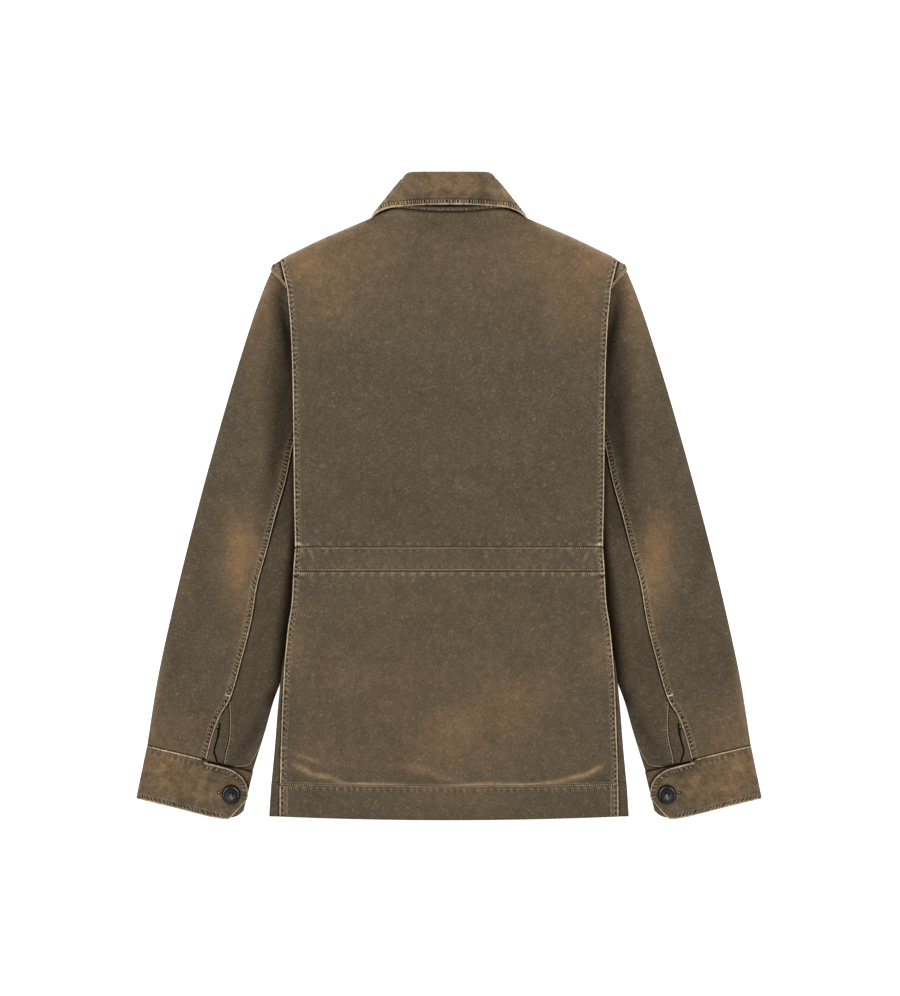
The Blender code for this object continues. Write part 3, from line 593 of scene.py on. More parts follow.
FADED = (
    # shoulders and upper back
    Oval(-150, 262, 46, 40, -25, 0.32), Oval(-134, 222, 30, 24, -20, 0.19),
    Oval(150, 256, 46, 40, 25, 0.32), Oval(150, 216, 28, 22, 20, 0.22),
    Oval(0, 306, 90, 40, 0, 0.10), Oval(0, 246, 160, 60, 0, 0.10),
    # seat and hem
    Oval(-6, -286, 40, 24, 0, 0.40), Oval(30, -262, 44, 30, 10, 0.21),
    Oval(86, -236, 38, 30, 20, 0.32), Oval(-60, -226, 60, 30, 0, 0.12),
    Oval(-128, -222, 52, 34, 0, 0.18), Oval(0, -200, 190, 70, 0, 0.12),
    Oval(-150, -318, 46, 22, 12, 0.22), Oval(130, -300, 50, 40, -12, 0.12),
    Oval(0, -90, 190, 16, 0, 0.10), Oval(0, -128, 190, 14, 0, 0.09),
    Oval(0, -320, 100, 26, 0, 0.28), Oval(10, -366, 66, 16, 0, 0.30),
    Oval(66, -280, 34, 20, 0, 0.18), Oval(-92, -268, 50, 14, 0, 0.10),
    Oval(-166, -293, 20, 14, 0, 0.16),
    # sleeves, strongest at the elbows
    Oval(-253, -50, 17, 30, 6, 0.62), Oval(-249, -86, 17, 36, -4, 0.62),
    Oval(-252, -76, 34, 62, 0, 0.22), Oval(252, -52, 17, 30, -6, 0.62),
    Oval(246, -88, 16, 36, 4, 0.60), Oval(250, -70, 34, 62, 0, 0.14),
    Oval(-314, -100, 12, 56, -12, 0.16), Oval(-222, 228, 14, 54, -14, 0.44),
    Oval(222, 230, 14, 54, 14, 0.44), Oval(-214, 60, 22, 60, -10, 0.10),
    Oval(-322, -284, 40, 34, 0, 0.34), Oval(326, -284, 38, 38, 0, 0.36),
    Oval(-236, -210, 18, 50, 10, 0.10),
    # cuffs
    Oval(-334, -322, 40, 18, 0, 0.30), Oval(-320, -352, 36, 16, 12, 0.30),
    Oval(-282, -356, 26, 16, 0, 0.40), Oval(338, -326, 38, 20, 0, 0.32),
    Oval(318, -352, 36, 16, -12, 0.32), Oval(286, -352, 30, 18, 0, 0.34),
    Oval(-346, -350, 18, 20, 0, 0.28), Oval(346, -350, 18, 20, 0, 0.22),
    Oval(-352, -326, 20, 34, 0, 0.30), Oval(352, -326, 20, 34, 0, 0.32),
    # collar
    Oval(-4, 375, 50, 15, 0, 0.62), Oval(-22, 362, 12, 12, 0, 0.26),
    Oval(18, 366, 14, 12, 0, 0.26),
) + on_both_sides(
    Oval(118, 296, 54, 22, 28, 0.28), Oval(184, -184, 22, 30, 0, 0.34),
    Oval(238, -142, 16, 36, 0, 0.30), Oval(67, 356, 16, 26, -35, 0.62),
    Oval(84, 312, 40, 16, 26, 0.20), Oval(176, 280, 30, 20, 20, 0.52),
    Oval(168, 206, 16, 50, 0, 0.12), Oval(224, 156, 16, 50, 12, 0.22),
    Oval(244, -334, 12, 14, 0, 0.30), Oval(352, -250, 12, 50, 10, 0.16),
)
# Painted shade beside the body, below the stand, on the collar and round the cuffs, and
# darker patches of tone. The same on both sides, so x is a half-width.
SHADED = (
    Oval(306, -60, 12, 90, -14, 0.15), Oval(262, -318, 22, 6, 14, 0.30),
    Oval(286, -284, 16, 30, -20, 0.15), Oval(330, -200, 14, 50, -10, 0.09),
    Oval(250, -336, 9, 14, -30, 0.16), Oval(276, -334, 12, 6, 14, 0.20),
    Oval(286, -346, 9, 12, 40, 0.12), Oval(316, -338, 12, 9, 0, 0.12),
    Oval(300, -318, 20, 5, 14, 0.12), Oval(334, -336, 10, 8, 30, 0.10),
    Oval(62, -352, 16, 5, 0, 0.14), Oval(118, -368, 12, 10, 0, 0.07),
    Oval(150, -354, 12, 7, 0, 0.08), Oval(0, 326, 70, 12, 0, 0.10),
    Oval(42, 376, 8, 12, 20, 0.16), Oval(38, 353, 14, 8, 0, 0.10),
    Oval(214, 150, 13, 64, -12, 0.12), Oval(79, -206, 26, 26, 0, 0.10),
    Oval(0, -56, 26, 40, 0, 0.10), Oval(178, -340, 16, 8, 0, 0.14),
    Oval(226, -205, 16, 34, 0, 0.10), Oval(196, -272, 14, 34, 0, 0.08),
    Oval(215, -244, 9, 24, 0, 0.09),
)
# Rubbed nearly white: ends of the strip, corners of the hem.
PALE = (
    Oval(181.8, -58.6, 4.0, 1.7, -4, 0.80), Oval(176.0, -59.0, 7.0, 1.4, 0, 0.22),
    Oval(183.4, -92.4, 4.0, 1.6, 8, 0.70), Oval(174.0, -93.8, 7.0, 1.6, -6, 0.20),
    Oval(176.0, -66.0, 1.4, 5.0, -24, 0.18), Oval(164.0, -72.0, 1.4, 9.0, -24, 0.20),
    Oval(146.0, -66.0, 1.5, 6.0, 20, 0.14), Oval(186.0, -97.4, 3.4, 1.5, 40, 0.40),
    Oval(120.0, -74.0, 6.0, 3.0, 10, 0.06), Oval(90.0, -78.0, 8.0, 3.0, -8, 0.05),
)
# Painted shade: dark notches where the strip's ends meet the side seams, and the shadow under the
# collar's tips.
NOTCHED = (
    Oval(182.6, -62.6, 5.2, 1.6, 0, 0.85), Oval(183.6, -96.2, 4.8, 1.9, -6, 0.80),
    Oval(177.0, -98.4, 6.0, 1.7, 20, 0.35), Oval(170.0, -62.2, 9.0, 1.2, 0, 0.35),
    Oval(168.0, -89.2, 12.0, 1.2, 0, 0.35), Oval(83.0, 338.9, 11.0, 1.6, -19, 0.85),
)
Crease = namedtuple("Crease", "x y length width turn height")


def own_axes(points, spot):
    """How far points are from the middle of an oval or a crease, along it and across it."""
    turn = math.radians(spot.turn)
    x = points[..., 0] - spot.x
    y = points[..., 1] - spot.y
    return x * math.cos(turn) + y * math.sin(turn), y * math.cos(turn) - x * math.sin(turn)


def ovals(points, table, both_sides=False):
    """How strongly the ovals of a table cover each point."""
    points = folded_over(points) if both_sides else points
    total = np.zeros(points.shape[:-1])
    for oval in table:
        u, v = own_axes(points, oval)
        total += oval.strength * np.exp(-(u / oval.across) ** 2 - (v / oval.along) ** 2)
    return total


def creases(points, table):
    """How high soft ridges lift each point, in millimetres."""
    total = np.zeros(points.shape[:-1])
    for crease in table:
        u, v = own_axes(points, crease)
        total += crease.height * np.exp(-(u / crease.length) ** 4 - (v / crease.width) ** 2)
    return total


print("ovals:", len(FADED), "faded,", len(SHADED), "shaded,", len(PALE + NOTCHED), "at seams")

# %% [markdown]
# ## The body
# The back is one panel from the hem to the shoulders. The fronts lie under it, turn round
# a fold outside its edges and end under its side seams. The table holds a row for each
# level of the body, as the pattern does: how wide the back is, where the front folds, and
# how far the sleeves lie under them both.

# %% Body pattern
BodyRow = namedtuple("BodyRow", "y edge fold drop rise reach")
BODY_ROWS = (
    BodyRow(-383.7, 202.4, 215.6, 0.0, 0.00, 0),
    BodyRow(-346.7, 202.2, 213.2, 0.0, 0.00, 0),
    BodyRow(-342.7, 202.1, 212.8, 0.0, 0.00, 0),
    BodyRow(-300.0, 201.1, 208.8, 0.0, 0.00, 4),
    BodyRow(-255.0, 199.4, 205.2, 0.0, 0.00, 12),
    BodyRow(-216.0, 197.7, 201.2, 0.0, 0.00, 24),
    BodyRow(-190.6, 195.8, 197.6, 0.0, 0.00, 34),
    BodyRow(-157.6, 192.4, 191.4, 0.0, 0.00, 44),
    BodyRow(-128.0, 188.0, 187.0, 0.0, 0.00, 52),
    BodyRow(-90.2, 186.0, 185.0, 0.0, 0.00, 64),
    BodyRow(-61.1, 184.1, 183.1, 0.0, 0.00, 72),
    BodyRow(-15.0, 185.0, 184.0, 0.0, 0.00, 84),
    BodyRow(35.0, 185.6, 184.6, 0.0, 0.00, 88),
    BodyRow(80.0, 186.1, 185.1, 0.0, 0.08, 80),
    BodyRow(125.0, 186.8, 185.8, 0.0, 0.22, 62),
    BodyRow(170.0, 187.9, 186.9, 0.0, 0.40, 48),
    BodyRow(212.0, 190.2, 189.2, 0.0, 0.62, 40),
    BodyRow(239.0, 192.8, 187.2, 0.1, 0.78, 38),
    BodyRow(248.1, 193.6, 194.3, 0.3, 0.82, 38),
    BodyRow(264.0, 197.4, 203.9, 4.6, 0.91, 40),
    BodyRow(272.8, 199.4, 213.2, 3.4, 0.955, 42),
    BodyRow(282.2, 201.6, 211.2, 5.0, 1.00, 44),
)
NeckPoint = namedtuple("NeckPoint", "x back front")
NECK = (
    NeckPoint(0.0, 339.6, 261.5), NeckPoint(24.2, 340.4, 265.5), NeckPoint(44.4, 342.2, 282.0),
    NeckPoint(65.5, 343.0, 312.0), NeckPoint(80.6, 338.2, 328.0), NeckPoint(88.7, 334.4, 328.0),
    NeckPoint(95.8, 331.2, 328.6), NeckPoint(116.9, 322.4, 322.2),
    NeckPoint(141.1, 312.2, 312.0), NeckPoint(163.3, 301.9, 301.7),
    NeckPoint(181.4, 293.0, 292.8), NeckPoint(192.5, 287.8, 287.6),
    NeckPoint(201.6, 282.2, 282.2),
)
HEM_Y, SHOULDER_Y = BODY_ROWS[0].y, BODY_ROWS[-1].y
HEM_TOP_Y = -346.7
HEM_EASE = 4.0         # over which the turned hem thins to one ply
HEM_SAG = ((HEM_Y, HEM_TOP_Y, -280.0), (4.3, 3.0, 0.0))     # levels, and how far they sag
STRIP_TOP_Y, STRIP_BOTTOM_Y = -61.1, -90.2
FRONT_LAP = 18.0       # how far each front goes past the centre
LAP_RAMP = 26.0        # where the upper front has come down to the floor
COLLAR_LIFT = COLLAR_PLY + GAP
LIFT_Y, LIFT_X = (200.0, 244.0), (108.0, 150.0)     # where the collar begins to lift the fronts
LIFT_LEAD = 22.0       # how much sooner the back rises than the fronts

body_table = through([r.y for r in BODY_ROWS], [r[1:] for r in BODY_ROWS])
neck_table = through([p.x for p in NECK], [p[1:] for p in NECK])


def body_at(level, *names):
    """Columns of the body's table, read at some levels."""
    values = body_table(level)
    return [values[..., BodyRow._fields.index(name) - 1] for name in names]


def body_plan(level, x, which):
    """Y of a place on the back or the front. level is the row's own height."""
    edge, rise = body_at(level, "edge", "rise")
    share = np.clip(np.abs(x) / edge, 0.0, 1.0)
    neck = neck_table(share * NECK[-1].x)[..., NeckPoint._fields.index(which) - 1]
    sag = np.interp(level, *HEM_SAG)
    return level + rise * (neck - NECK[-1].back) - sag * (1.0 - share * share)


def body_ply(level):
    return TURNED + (CLOTH - TURNED) * ease(HEM_TOP_Y, HEM_TOP_Y + HEM_EASE, level)


def body_floor(level, x, y):
    """How high the sleeves and the collar lift the fronts."""
    edge, reach = body_at(level, "edge", "reach")
    sleeve = 2.0 * STEP * (1.0 - ease(reach, reach + 45.0, edge - np.abs(x)))
    sleeve = sleeve * ease(-300.0, -216.0, level)
    collar = COLLAR_LIFT * ease(*LIFT_Y, y) * (1.0 - ease(*LIFT_X, np.abs(x)))
    return np.maximum(sleeve, collar)


print("length of the back at its side:", SHOULDER_Y - HEM_Y, "mm")

# %% [markdown]
# ## Creases of the back
# The back lies almost flat. It has a little air under it, a few long shallow ridges that
# come down from the shoulders, and short ones that the hem and the waist strip draw in.
# A cloth simulation would give creases, but not these ones, so they are listed.

# %% Back surface
BACK_CREASES = (
    Crease(-96, 190, 70, 15, 66, 0.8), Crease(104, 176, 80, 17, -62, 0.8),
    Crease(-30, 96, 90, 22, 80, 0.5), Crease(60, 40, 80, 20, -74, 0.5),
    Crease(-120, 20, 60, 16, 58, 0.6), Crease(132, -6, 50, 14, -48, 0.6),
    Crease(-140, -44, 34, 9, 14, 0.7), Crease(146, -40, 30, 9, -10, 0.7),
    Crease(-150, -108, 36, 8, -12, 0.8), Crease(152, -112, 32, 8, 16, 0.8),
    Crease(-60, -150, 70, 16, 8, 0.5), Crease(50, -178, 80, 18, -6, 0.5),
    Crease(-110, -236, 60, 14, 18, 0.6), Crease(96, -252, 66, 14, -14, 0.6),
    Crease(10, -290, 60, 12, 4, 0.6), Crease(-176, -300, 40, 9, 64, 0.7),
    Crease(178, -286, 44, 9, -68, 0.7),
)
HEM_WAVES = ((31.0, 0.25), (17.0, 0.15))      # pitch and height of the ripples above the hem


def back_surface(level, x):
    """Places on the middle of the back's ply."""
    y = body_plan(level, x, "back")
    ply = body_ply(level)
    lead = LIFT_LEAD * ease(60.0, 100.0, level)
    z = body_floor(level, x, y + lead) + 2.0 * (ply + GAP) + ply / 2.0
    inward = body_at(level, "edge")[0] - np.abs(x)
    place = np.stack([x + 0.0 * y, y, z], -1)
    loose = ease(12.0, 60.0, inward) * ease(-340.0, -300.0, level) * ease(275.0, 230.0, level)
    loose = loose * ease(6.0, 34.0, np.abs(level - (STRIP_TOP_Y + STRIP_BOTTOM_Y) / 2.0))
    place[..., 2] += 1.1 * loose
    place[..., 2] += creases(place, BACK_CREASES) * ease(8.0, 24.0, inward)
    above_hem = ease(HEM_TOP_Y - 2.0, HEM_TOP_Y + 9.0, level) * ease(-306.0, -336.0, level)
    ripple = sum(h * np.sin(2 * math.pi * x / p + i) for i, (p, h) in enumerate(HEM_WAVES))
    place[..., 2] += above_hem * (0.7 + ripple)
    shoulder = ease(84.0, 100.0, np.abs(x)) * ease(276.0, SHOULDER_Y, level)
    place[..., 2] -= 1.1 * shoulder
    return place


ALLOWANCE_RISE, FURROW_WIDTH = 0.42, 0.9


def allowance_relief(distance, run, rows, pitch, width):
    """A sewn allowance: a raised band with a furrow at each row of sewing."""
    band = ALLOWANCE_RISE * ease(width + 1.5, width - 1.5, distance)
    for i, row in enumerate(rows):
        furrow = np.exp(-((distance - row) / FURROW_WIDTH) ** 2)
        pucker = np.sin(2 * math.pi * (run / pitch + 0.37 * i) + 1.3 * np.sin(run / 19.0))
        band = band - furrow * (0.26 - 0.14 * pucker)
    return band


print("creases on the back:", len(BACK_CREASES))

# %% [markdown]
# ## The back's grid
# A face that is wider than a stitch can't hold a seam, and a grid that fine all over the
# back would be too heavy. So its rows and columns lie close together only at the seams,
# the hem, the waist strip and the shoulders.

# %% Back grid
SIDE_ROWS = (3.0, 6.6)         # distances of the two rows of sewing from the back's edge
SIDE_PUCKERS = (SIDE_ROWS, 5.4, 8.6)
EDGE_COLUMNS = (0.0, 1.0, 2.1, 3.0, 3.9, 4.8, 5.7, 6.6, 7.5, 8.6, 10.2, 13.0, 17.0)


def across_body(edge, middle):
    """Places across the body: close together at the side seams, wider in the middle."""
    from_edge = np.array(EDGE_COLUMNS)
    inner = edge - from_edge[-1]
    shares = np.arange(1, middle) / middle
    centre = inner * (2.0 * shares - 1.0)
    return np.concatenate([from_edge - edge, centre, edge - from_edge[::-1]], -1)


ROW_RUNS = ((HEM_Y, -352.0, 17), (-352.0, -340.0, 16), (-340.0, -103.0, 130),
            (-103.0, -86.0, 22), (-86.0, -66.0, 11), (-66.0, -54.0, 15), (-54.0, 262.0, 170),
            (262.0, SHOULDER_Y, 17))
levels = np.concatenate([np.linspace(a, b, count, endpoint=False) for a, b, count in ROW_RUNS])
levels = np.append(levels, SHOULDER_Y)
BACK_ROWS = len(levels)
for fixed in (HEM_TOP_Y, STRIP_BOTTOM_Y, STRIP_TOP_Y):
    levels[np.argmin(np.abs(levels - fixed))] = fixed
back_x = np.array([across_body(body_at(level, "edge")[0], 62) for level in levels])
back_levels = np.repeat(levels[:, None], back_x.shape[1], 1)
back_points = back_surface(back_levels, back_x)
side_line = back_points[::6, -1, :2]
side_distance, side_run = near_line(folded_over(back_points), side_line)
side_run = side_run + np.where(back_points[..., 0] < 0, 900.0, 0.0)
print("back grid:", back_x.shape)

# %% [markdown]
# ## The back panel
# Above the hem the folds have rubbed nearly to the bare yarn, in thin streaks. They are
# ovals too, long ones. Everything the finish has to know goes along with the points: how
# faded, how dark and how pale each is, and how far it lies from each seam.

# %% Back panel
HEM_SEWING_Y = HEM_TOP_Y + 0.6
hem_distance = back_levels - HEM_SEWING_Y
HEM_STREAKS = (
    Oval(-173, -328.6, 12, 2.5, -31, 0.80), Oval(-153, -335.6, 11, 2.5, -8, 1.00),
    Oval(-133, -342.0, 12, 1.7, -16, 0.55), Oval(-104, -345.2, 24, 1.7, -1, 0.80),
    Oval(-70, -345.8, 16, 1.7, 0, 0.50), Oval(-169, -314.5, 14, 2.0, -22, 0.50),
    Oval(-36, -326, 22, 3.4, -10, 0.30), Oval(-12, -336, 26, 2.8, -14, 0.35),
    Oval(30, -346, 30, 2.0, 4, 0.60), Oval(78, -346, 28, 2.0, 0, 0.60),
    Oval(120, -343.6, 22, 1.9, 5, 0.75), Oval(151, -337.0, 13, 2.3, 12, 0.95),
    Oval(173, -329.5, 13, 2.4, 29, 0.80),
)
streaks = ovals(back_points, HEM_STREAKS)
back_fade = ovals(back_points, FADED) + streaks * 1.2
back_half = np.abs(back_points[..., 0])
back_shade = ovals(back_points, NOTCHED, True) + ovals(back_points, SHADED, True)
back_pale = ovals(back_points, PALE, True) + 0.20 * streaks
# below the neck the stand's shadow is painted on the back; further out the shoulder's edge
# is painted lighter, where it turns down
neck_gap = neck_table(back_half)[..., 0] - back_points[..., 1]
back_shade += 0.62 * ease(88.0, 60.0, back_half) * ease(3.2, 0.6, neck_gap)
back_pale += ease(92.0, 112.0, back_half) * (
    0.15 * ease(15.0, 0.0, neck_gap) + 0.24 * ease(3.6, 0.0, neck_gap))
back_relief = allowance_relief(side_distance, side_run, *SIDE_PUCKERS)
back_relief = back_relief - 0.25 * np.exp(-(hem_distance / 1.2) ** 2)
above_hem = back_levels > HEM_SEWING_Y - 1.0
FAR = 40.0         # a distance at which no seam shows
back = lay_cloth(
    "back_panel", back_points, body_ply(back_levels),
    {"side": np.where(above_hem, side_distance, FAR), "side_run": side_run,
     "side_hem": np.where(above_hem, FAR, side_distance), "side_hem_run": side_run,
     "hem": hem_distance, "hem_run": back_points[..., 0] + 400.0,
     "above_strip": back_levels - STRIP_TOP_Y, "above_strip_run": back_points[..., 0] + 400.0,
     "below_strip": STRIP_BOTTOM_Y - back_levels, "below_strip_run": back_points[..., 0] + 900.0,
     "fade": back_fade, "deep": back_shade, "pale": back_pale}, body_canvas, relief=back_relief)
print("back panel:", faces_of(back), "faces")

# %% [markdown]
# ## The waist strip
# A strip of the same canvas is sewn across the back at the waist. It could be a band of
# its own, shrunk onto the back, but it has to follow the back exactly. So it is laid on
# the back's own surface, one ply higher.

# %% Waist strip
strip_levels = np.linspace(STRIP_BOTTOM_Y, STRIP_TOP_Y, 25)
strip_x = np.array([across_body(body_at(level, "edge")[0], 150) for level in strip_levels])
strip_levels = np.repeat(strip_levels[:, None], strip_x.shape[1], 1)
strip_points = back_surface(strip_levels, strip_x)
strip_points[..., 2] += STEP
strip_edges = np.minimum(strip_levels - STRIP_BOTTOM_Y, STRIP_TOP_Y - strip_levels)
strip_side, strip_side_run = near_line(folded_over(strip_points), side_line)
strip_points[..., 2] += creases(strip_points, (
    Crease(-120, -76, 30, 7, 78, 0.25), Crease(-40, -76, 26, 7, 96, 0.25),
    Crease(66, -75, 30, 8, 84, 0.25), Crease(140, -76, 26, 7, 100, 0.25)))
strip = lay_cloth(
    "waist_strip_canvas", strip_points, CLOTH,
    {"side": strip_side, "side_run": strip_side_run, "strip": strip_edges,
     "strip_run": strip_points[..., 0] + 400.0, "fade": ovals(strip_points, FADED),
     "pale": ovals(strip_points, PALE, True), "deep": ovals(strip_points, NOTCHED, True)},
    strip_canvas, relief=allowance_relief(strip_side, strip_side_run, *SIDE_PUCKERS))
print("waist strip:", faces_of(strip), "faces")

# %% [markdown]
# ## The fronts
# Each front lies on the floor, turns up round its fold, and comes back in under the edge
# of the back. Only that turn shows from above, at the shoulder and beside the hem, and it
# alone could be built. The whole front holds the back up and closes the jacket below.
# What the back hides is left plain, because the picture doesn't say what it has there.

# %% Fronts
FRONT_ROWS = 210
FRONT_INNER = 46


def front_grid(lifted):
    """One front from the centre to its end under the back; lifted: 1 if it lies on the other."""
    level = np.linspace(HEM_Y, SHOULDER_Y, FRONT_ROWS)
    edge, fold, drop = body_at(level, "edge", "fold", "drop")
    ply = body_ply(level)
    columns = []
    for s in np.linspace(0.0, 1.0, FRONT_INNER):
        x = -FRONT_LAP + (0.9 * edge + FRONT_LAP) * s
        y = body_plan(level, x, "front")
        lap = (ply + GAP) * (1.0 - ease(FRONT_LAP + 2.0, FRONT_LAP + LAP_RAMP, x)) * lifted
        columns.append(np.stack([x, y, body_floor(level, x, y) + lap + ply / 2.0], -1))
    low = body_floor(level, edge, level) + ply / 2.0
    high = low + ply + GAP
    radius = (high - low) / 2.0
    turn_x = fold - radius - ply / 2.0
    fold_y = body_plan(level, edge, "front") - drop
    inner_end = columns[-1]
    fold_start = np.stack([turn_x, fold_y, low], -1)
    for s in (0.35, 0.7):
        columns.append(inner_end + (fold_start - inner_end) * s)
    for turn in FOLD_TURNS:
        columns.append(np.stack([turn_x + radius * math.sin(turn), fold_y,
                                 low + radius - radius * math.cos(turn)], -1))
    end_x = edge - ALLOWANCE
    end_y = body_plan(level, end_x, "back")
    end = np.stack([end_x, np.where(drop > 0.05, end_y + 0.3 * (fold_y - end_y), end_y), high], -1)
    start = columns[-1]
    for s in np.linspace(0.0, 1.0, 9)[1:]:
        columns.append(start + (end - start) * s)
    return np.stack(columns, 1), np.repeat(level[:, None], len(columns), 1)


# the fold at the shoulder, from its tip down to where the back covers it, and the hem's sewing
SHOULDER_FOLD = np.array([(213.4, 269.8), (209.0, 264.8), (203.6, 259.2), (194.6, 248.4)])
FRONT_HEM = np.array([(150.0, -343.9), (216.0, -343.2)])


def make_front(side, side_name):
    points, level = front_grid(1.0 if side < 0 else 0.0)
    seam, seam_run = near_line(points, SHOULDER_FOLD)
    hem, hem_run = near_line(points, FRONT_HEM)
    inward = np.abs(points[..., 0]) - body_at(level, "edge")[0]
    upper = ease(200.0, 240.0, points[..., 1])
    # painted shade: black where the front runs under the back's edge; pale is painted light on the
    # upper front, against the shade under that edge
    deep = upper * (0.98 * ease(4.4, 1.2, inward) * ease(2.0, 3.6, seam) + 0.02)
    deep += (1.0 - upper) * (0.10 + 0.90 * (1.0 - ease(0.8, 2.2, inward)))
    return lay_cloth(
        "front_" + side_name + "_panel", points, body_ply(level),
        {"seam": seam, "seam_run": seam_run,
         "hem": hem * np.sign(points[..., 1] - FRONT_HEM[:, 1].mean()), "hem_run": hem_run,
         "fade": 0.5 * ovals(points * (side, 1, 1), FADED), "deep": deep, "pale": 0.16 * upper},
        front_canvas, side)


fronts = {name: make_front(side, name) for side, name in SIDES}
print("fronts:", faces_of(*fronts.values()), "faces")

# %% [markdown]
# ## The sleeves
# A field jacket's sleeve is cut in two pieces. The top piece covers the outer side and
# wraps to the underneath. The under piece is narrow and joins it at the back seam, which
# is lapped and sewn twice. Together they make a tube, pressed flat. It could be one grid,
# but its lapped seam needs two pieces, so each is laid between the curves of its edges.

# %% Sleeve pattern
OUTER_FOLD = ((213.8, 268.2), (222.7, 246.8), (235.6, 210.8), (258.2, 138.8), (279.0, 66.8),
              (298.7, -5.2), (317.3, -77.2), (334.4, -149.2), (349.6, -221.2), (361.9, -299.0))
BACK_SEAM = ((178.6, 84.0), (187.0, 62.4), (196.0, 18.8), (207.6, -22.0), (218.4, -64.0),
             (229.6, -104.8), (237.6, -151.6), (248.8, -196.0), (262.6, -243.0),
             (276.0, -266.0), (284.6, -290.4), (291.4, -316.0))
VENT_SLIT = ((178.6, 84.0), (187.0, 62.4), (196.0, 18.8), (207.6, -22.0), (218.4, -64.0),
             (229.6, -104.8), (237.6, -151.6), (248.8, -196.0), (264.4, -245.0),
             (275.4, -271.0), (277.4, -289.0), (281.2, -303.6), (281.8, -307.4), (280.6, -311.0),
             (277.8, -320.6))
INNER_FOLD = ((124.8, 18.8), (152.0, -62.0), (178.5, -142.0), (197.8, -211.6),
              (210.8, -247.7), (220.2, -281.2), (235.6, -330.6))
ARMHOLE_OVER = ((213.8, 268.2), (196.0, 262.0), (186.2, 240.0), (180.6, 190.0),
                (178.8, 130.0), (178.6, 84.0))
ARMHOLE_UNDER = ((178.6, 84.0), (158.0, 46.0), (124.8, 18.8))
SEAM_ALLOWANCE = 6.0
SEAM_LIFT_WIDTH, SEAM_RAMP = 11.5, 13.0     # how wide the top ply is lifted over its seam
SEAM_LIFT = (0.06, 0.16)                    # and over which shares of its length it rises
LAP_BEGINS, LAP_ENDS = (0.16, 0.24), (0.82, 0.88)
FLOOR_PLY = CLOTH / 2.0
UPPER_PLY = FLOOR_PLY + STEP
SLEEVE_AIR = 1.2       # how much higher than pressed flat the sleeve lies at its outer fold
TOP_LENGTH, UNDER_LENGTH = 620.0, 600.0
SLEEVE_ROWS = 300
SLEEVE_SEWING = (3.4, 6.8)     # distances of the two rows of sewing from the back seam

outer_fold = smooth_curve(OUTER_FOLD)
inner_fold = smooth_curve(INNER_FOLD)
back_seam = smooth_curve(BACK_SEAM)
vent_slit = smooth_curve(VENT_SLIT)
over_patch = patch(smooth_curve(ARMHOLE_OVER), straight(OUTER_FOLD[-1], BACK_SEAM[-1]),
                   outer_fold, back_seam)
below_patch = patch(smooth_curve(ARMHOLE_UNDER), straight(BACK_SEAM[-1], INNER_FOLD[-1]),
                    back_seam, inner_fold)
under_patch = patch(smooth_curve(ARMHOLE_UNDER), straight(VENT_SLIT[-1], INNER_FOLD[-1]),
                    vent_slit, inner_fold)


def width_of(shape, along):
    """How wide a patch is, from its near curve to its far one."""
    return np.linalg.norm(shape(1.0, along) - shape(0.0, along), axis=-1)


def with_height(plan, z):
    return np.concatenate([plan, (np.zeros(plan.shape[:-1]) + z)[..., None]], -1)


def across_curve(curve, along, side):
    """Direction in plan, square to a curve that runs towards the cuff."""
    run = unit(curve(along + 0.01) - curve(along - 0.01))
    return side * np.stack([-run[..., 1], run[..., 0]], -1)


def tuck_end(points):
    """Lets the upper ply's end run on a little, down and under the edge of the cuff."""
    last = points[-1]
    high = (last[:, 2] > FLOOR_PLY + 0.5 * STEP)[:, None]
    end = last + unit(last - points[-2]) * (1.6, 1.6, 0.0) * high - (0.0, 0.0, 0.5) * high
    return np.concatenate([points, end[None]])


def fold_round(place, out, radius):
    """Columns of points round a fold, from the upper ply down to the floor."""
    radius = np.zeros(len(place)) + radius
    columns = []
    for turn in FOLD_TURNS:
        reach = radius * math.sin(turn) - radius - CLOTH / 2.0
        height = FLOOR_PLY + radius + radius * math.cos(turn)
        columns.append(with_height(place + out * reach[:, None], height))
    return columns


half_way = np.array([0.5])
print("top sleeve half way down:", width_of(over_patch, half_way).round(1), "mm wide")

# %% [markdown]
# ## The fold beside the body
# The sleeve's loose cloth falls into a deep fold beside the body, in shade. The fold is
# too shallow to cast that shade by itself, so the shade is painted on the cloth: a
# table says how dark it is at each level, and how far it reaches from the body's edge.

# %% Shade of the sleeves


def beside_body(points):
    """How far each point of a sleeve is from the body's edge."""
    return np.abs(points[..., 0]) - body_at(points[..., 1], "edge")[0]


# By level: how far from the body's edge the fold begins, is full and ends again, how dark it
# is there, and how dark at the body's edge.
FoldShade = namedtuple("FoldShade", "y begins full leaves deep at_edge")
FOLD_SHADES = (
    FoldShade(-64.0, 54.0, 44.0, 36.0, 0.00, 0.00), FoldShade(-28.0, 54.0, 38.0, 31.0, 0.20, 0.00),
    FoldShade(-4.0, 52.0, 32.0, 26.0, 0.26, 0.14), FoldShade(20.0, 46.0, 28.0, 26.0, 0.48, 0.22),
    FoldShade(44.0, 42.0, 25.5, 22.0, 0.61, 0.38), FoldShade(74.0, 42.0, 23.0, 9.0, 0.59, 0.58),
    FoldShade(96.0, 46.0, 18.0, 6.0, 0.62, 0.66), FoldShade(114.0, 48.0, 14.0, 5.0, 0.66, 0.72),
    FoldShade(134.0, 46.0, 6.0, 3.0, 0.70, 0.78), FoldShade(160.0, 37.0, 6.0, 2.0, 0.82, 0.82),
    FoldShade(187.0, 29.0, 7.5, 2.0, 0.87, 0.84), FoldShade(211.0, 27.0, 10.5, 7.0, 0.80, 0.62),
    FoldShade(235.0, 27.0, 12.0, 8.0, 0.60, 0.50), FoldShade(248.0, 25.0, 8.0, 4.0, 0.54, 0.48),
    FoldShade(264.0, 20.0, 6.0, 3.0, 0.28, 0.55),
)
fold_shade_table = through([f.y for f in FOLD_SHADES], [f[1:] for f in FOLD_SHADES])


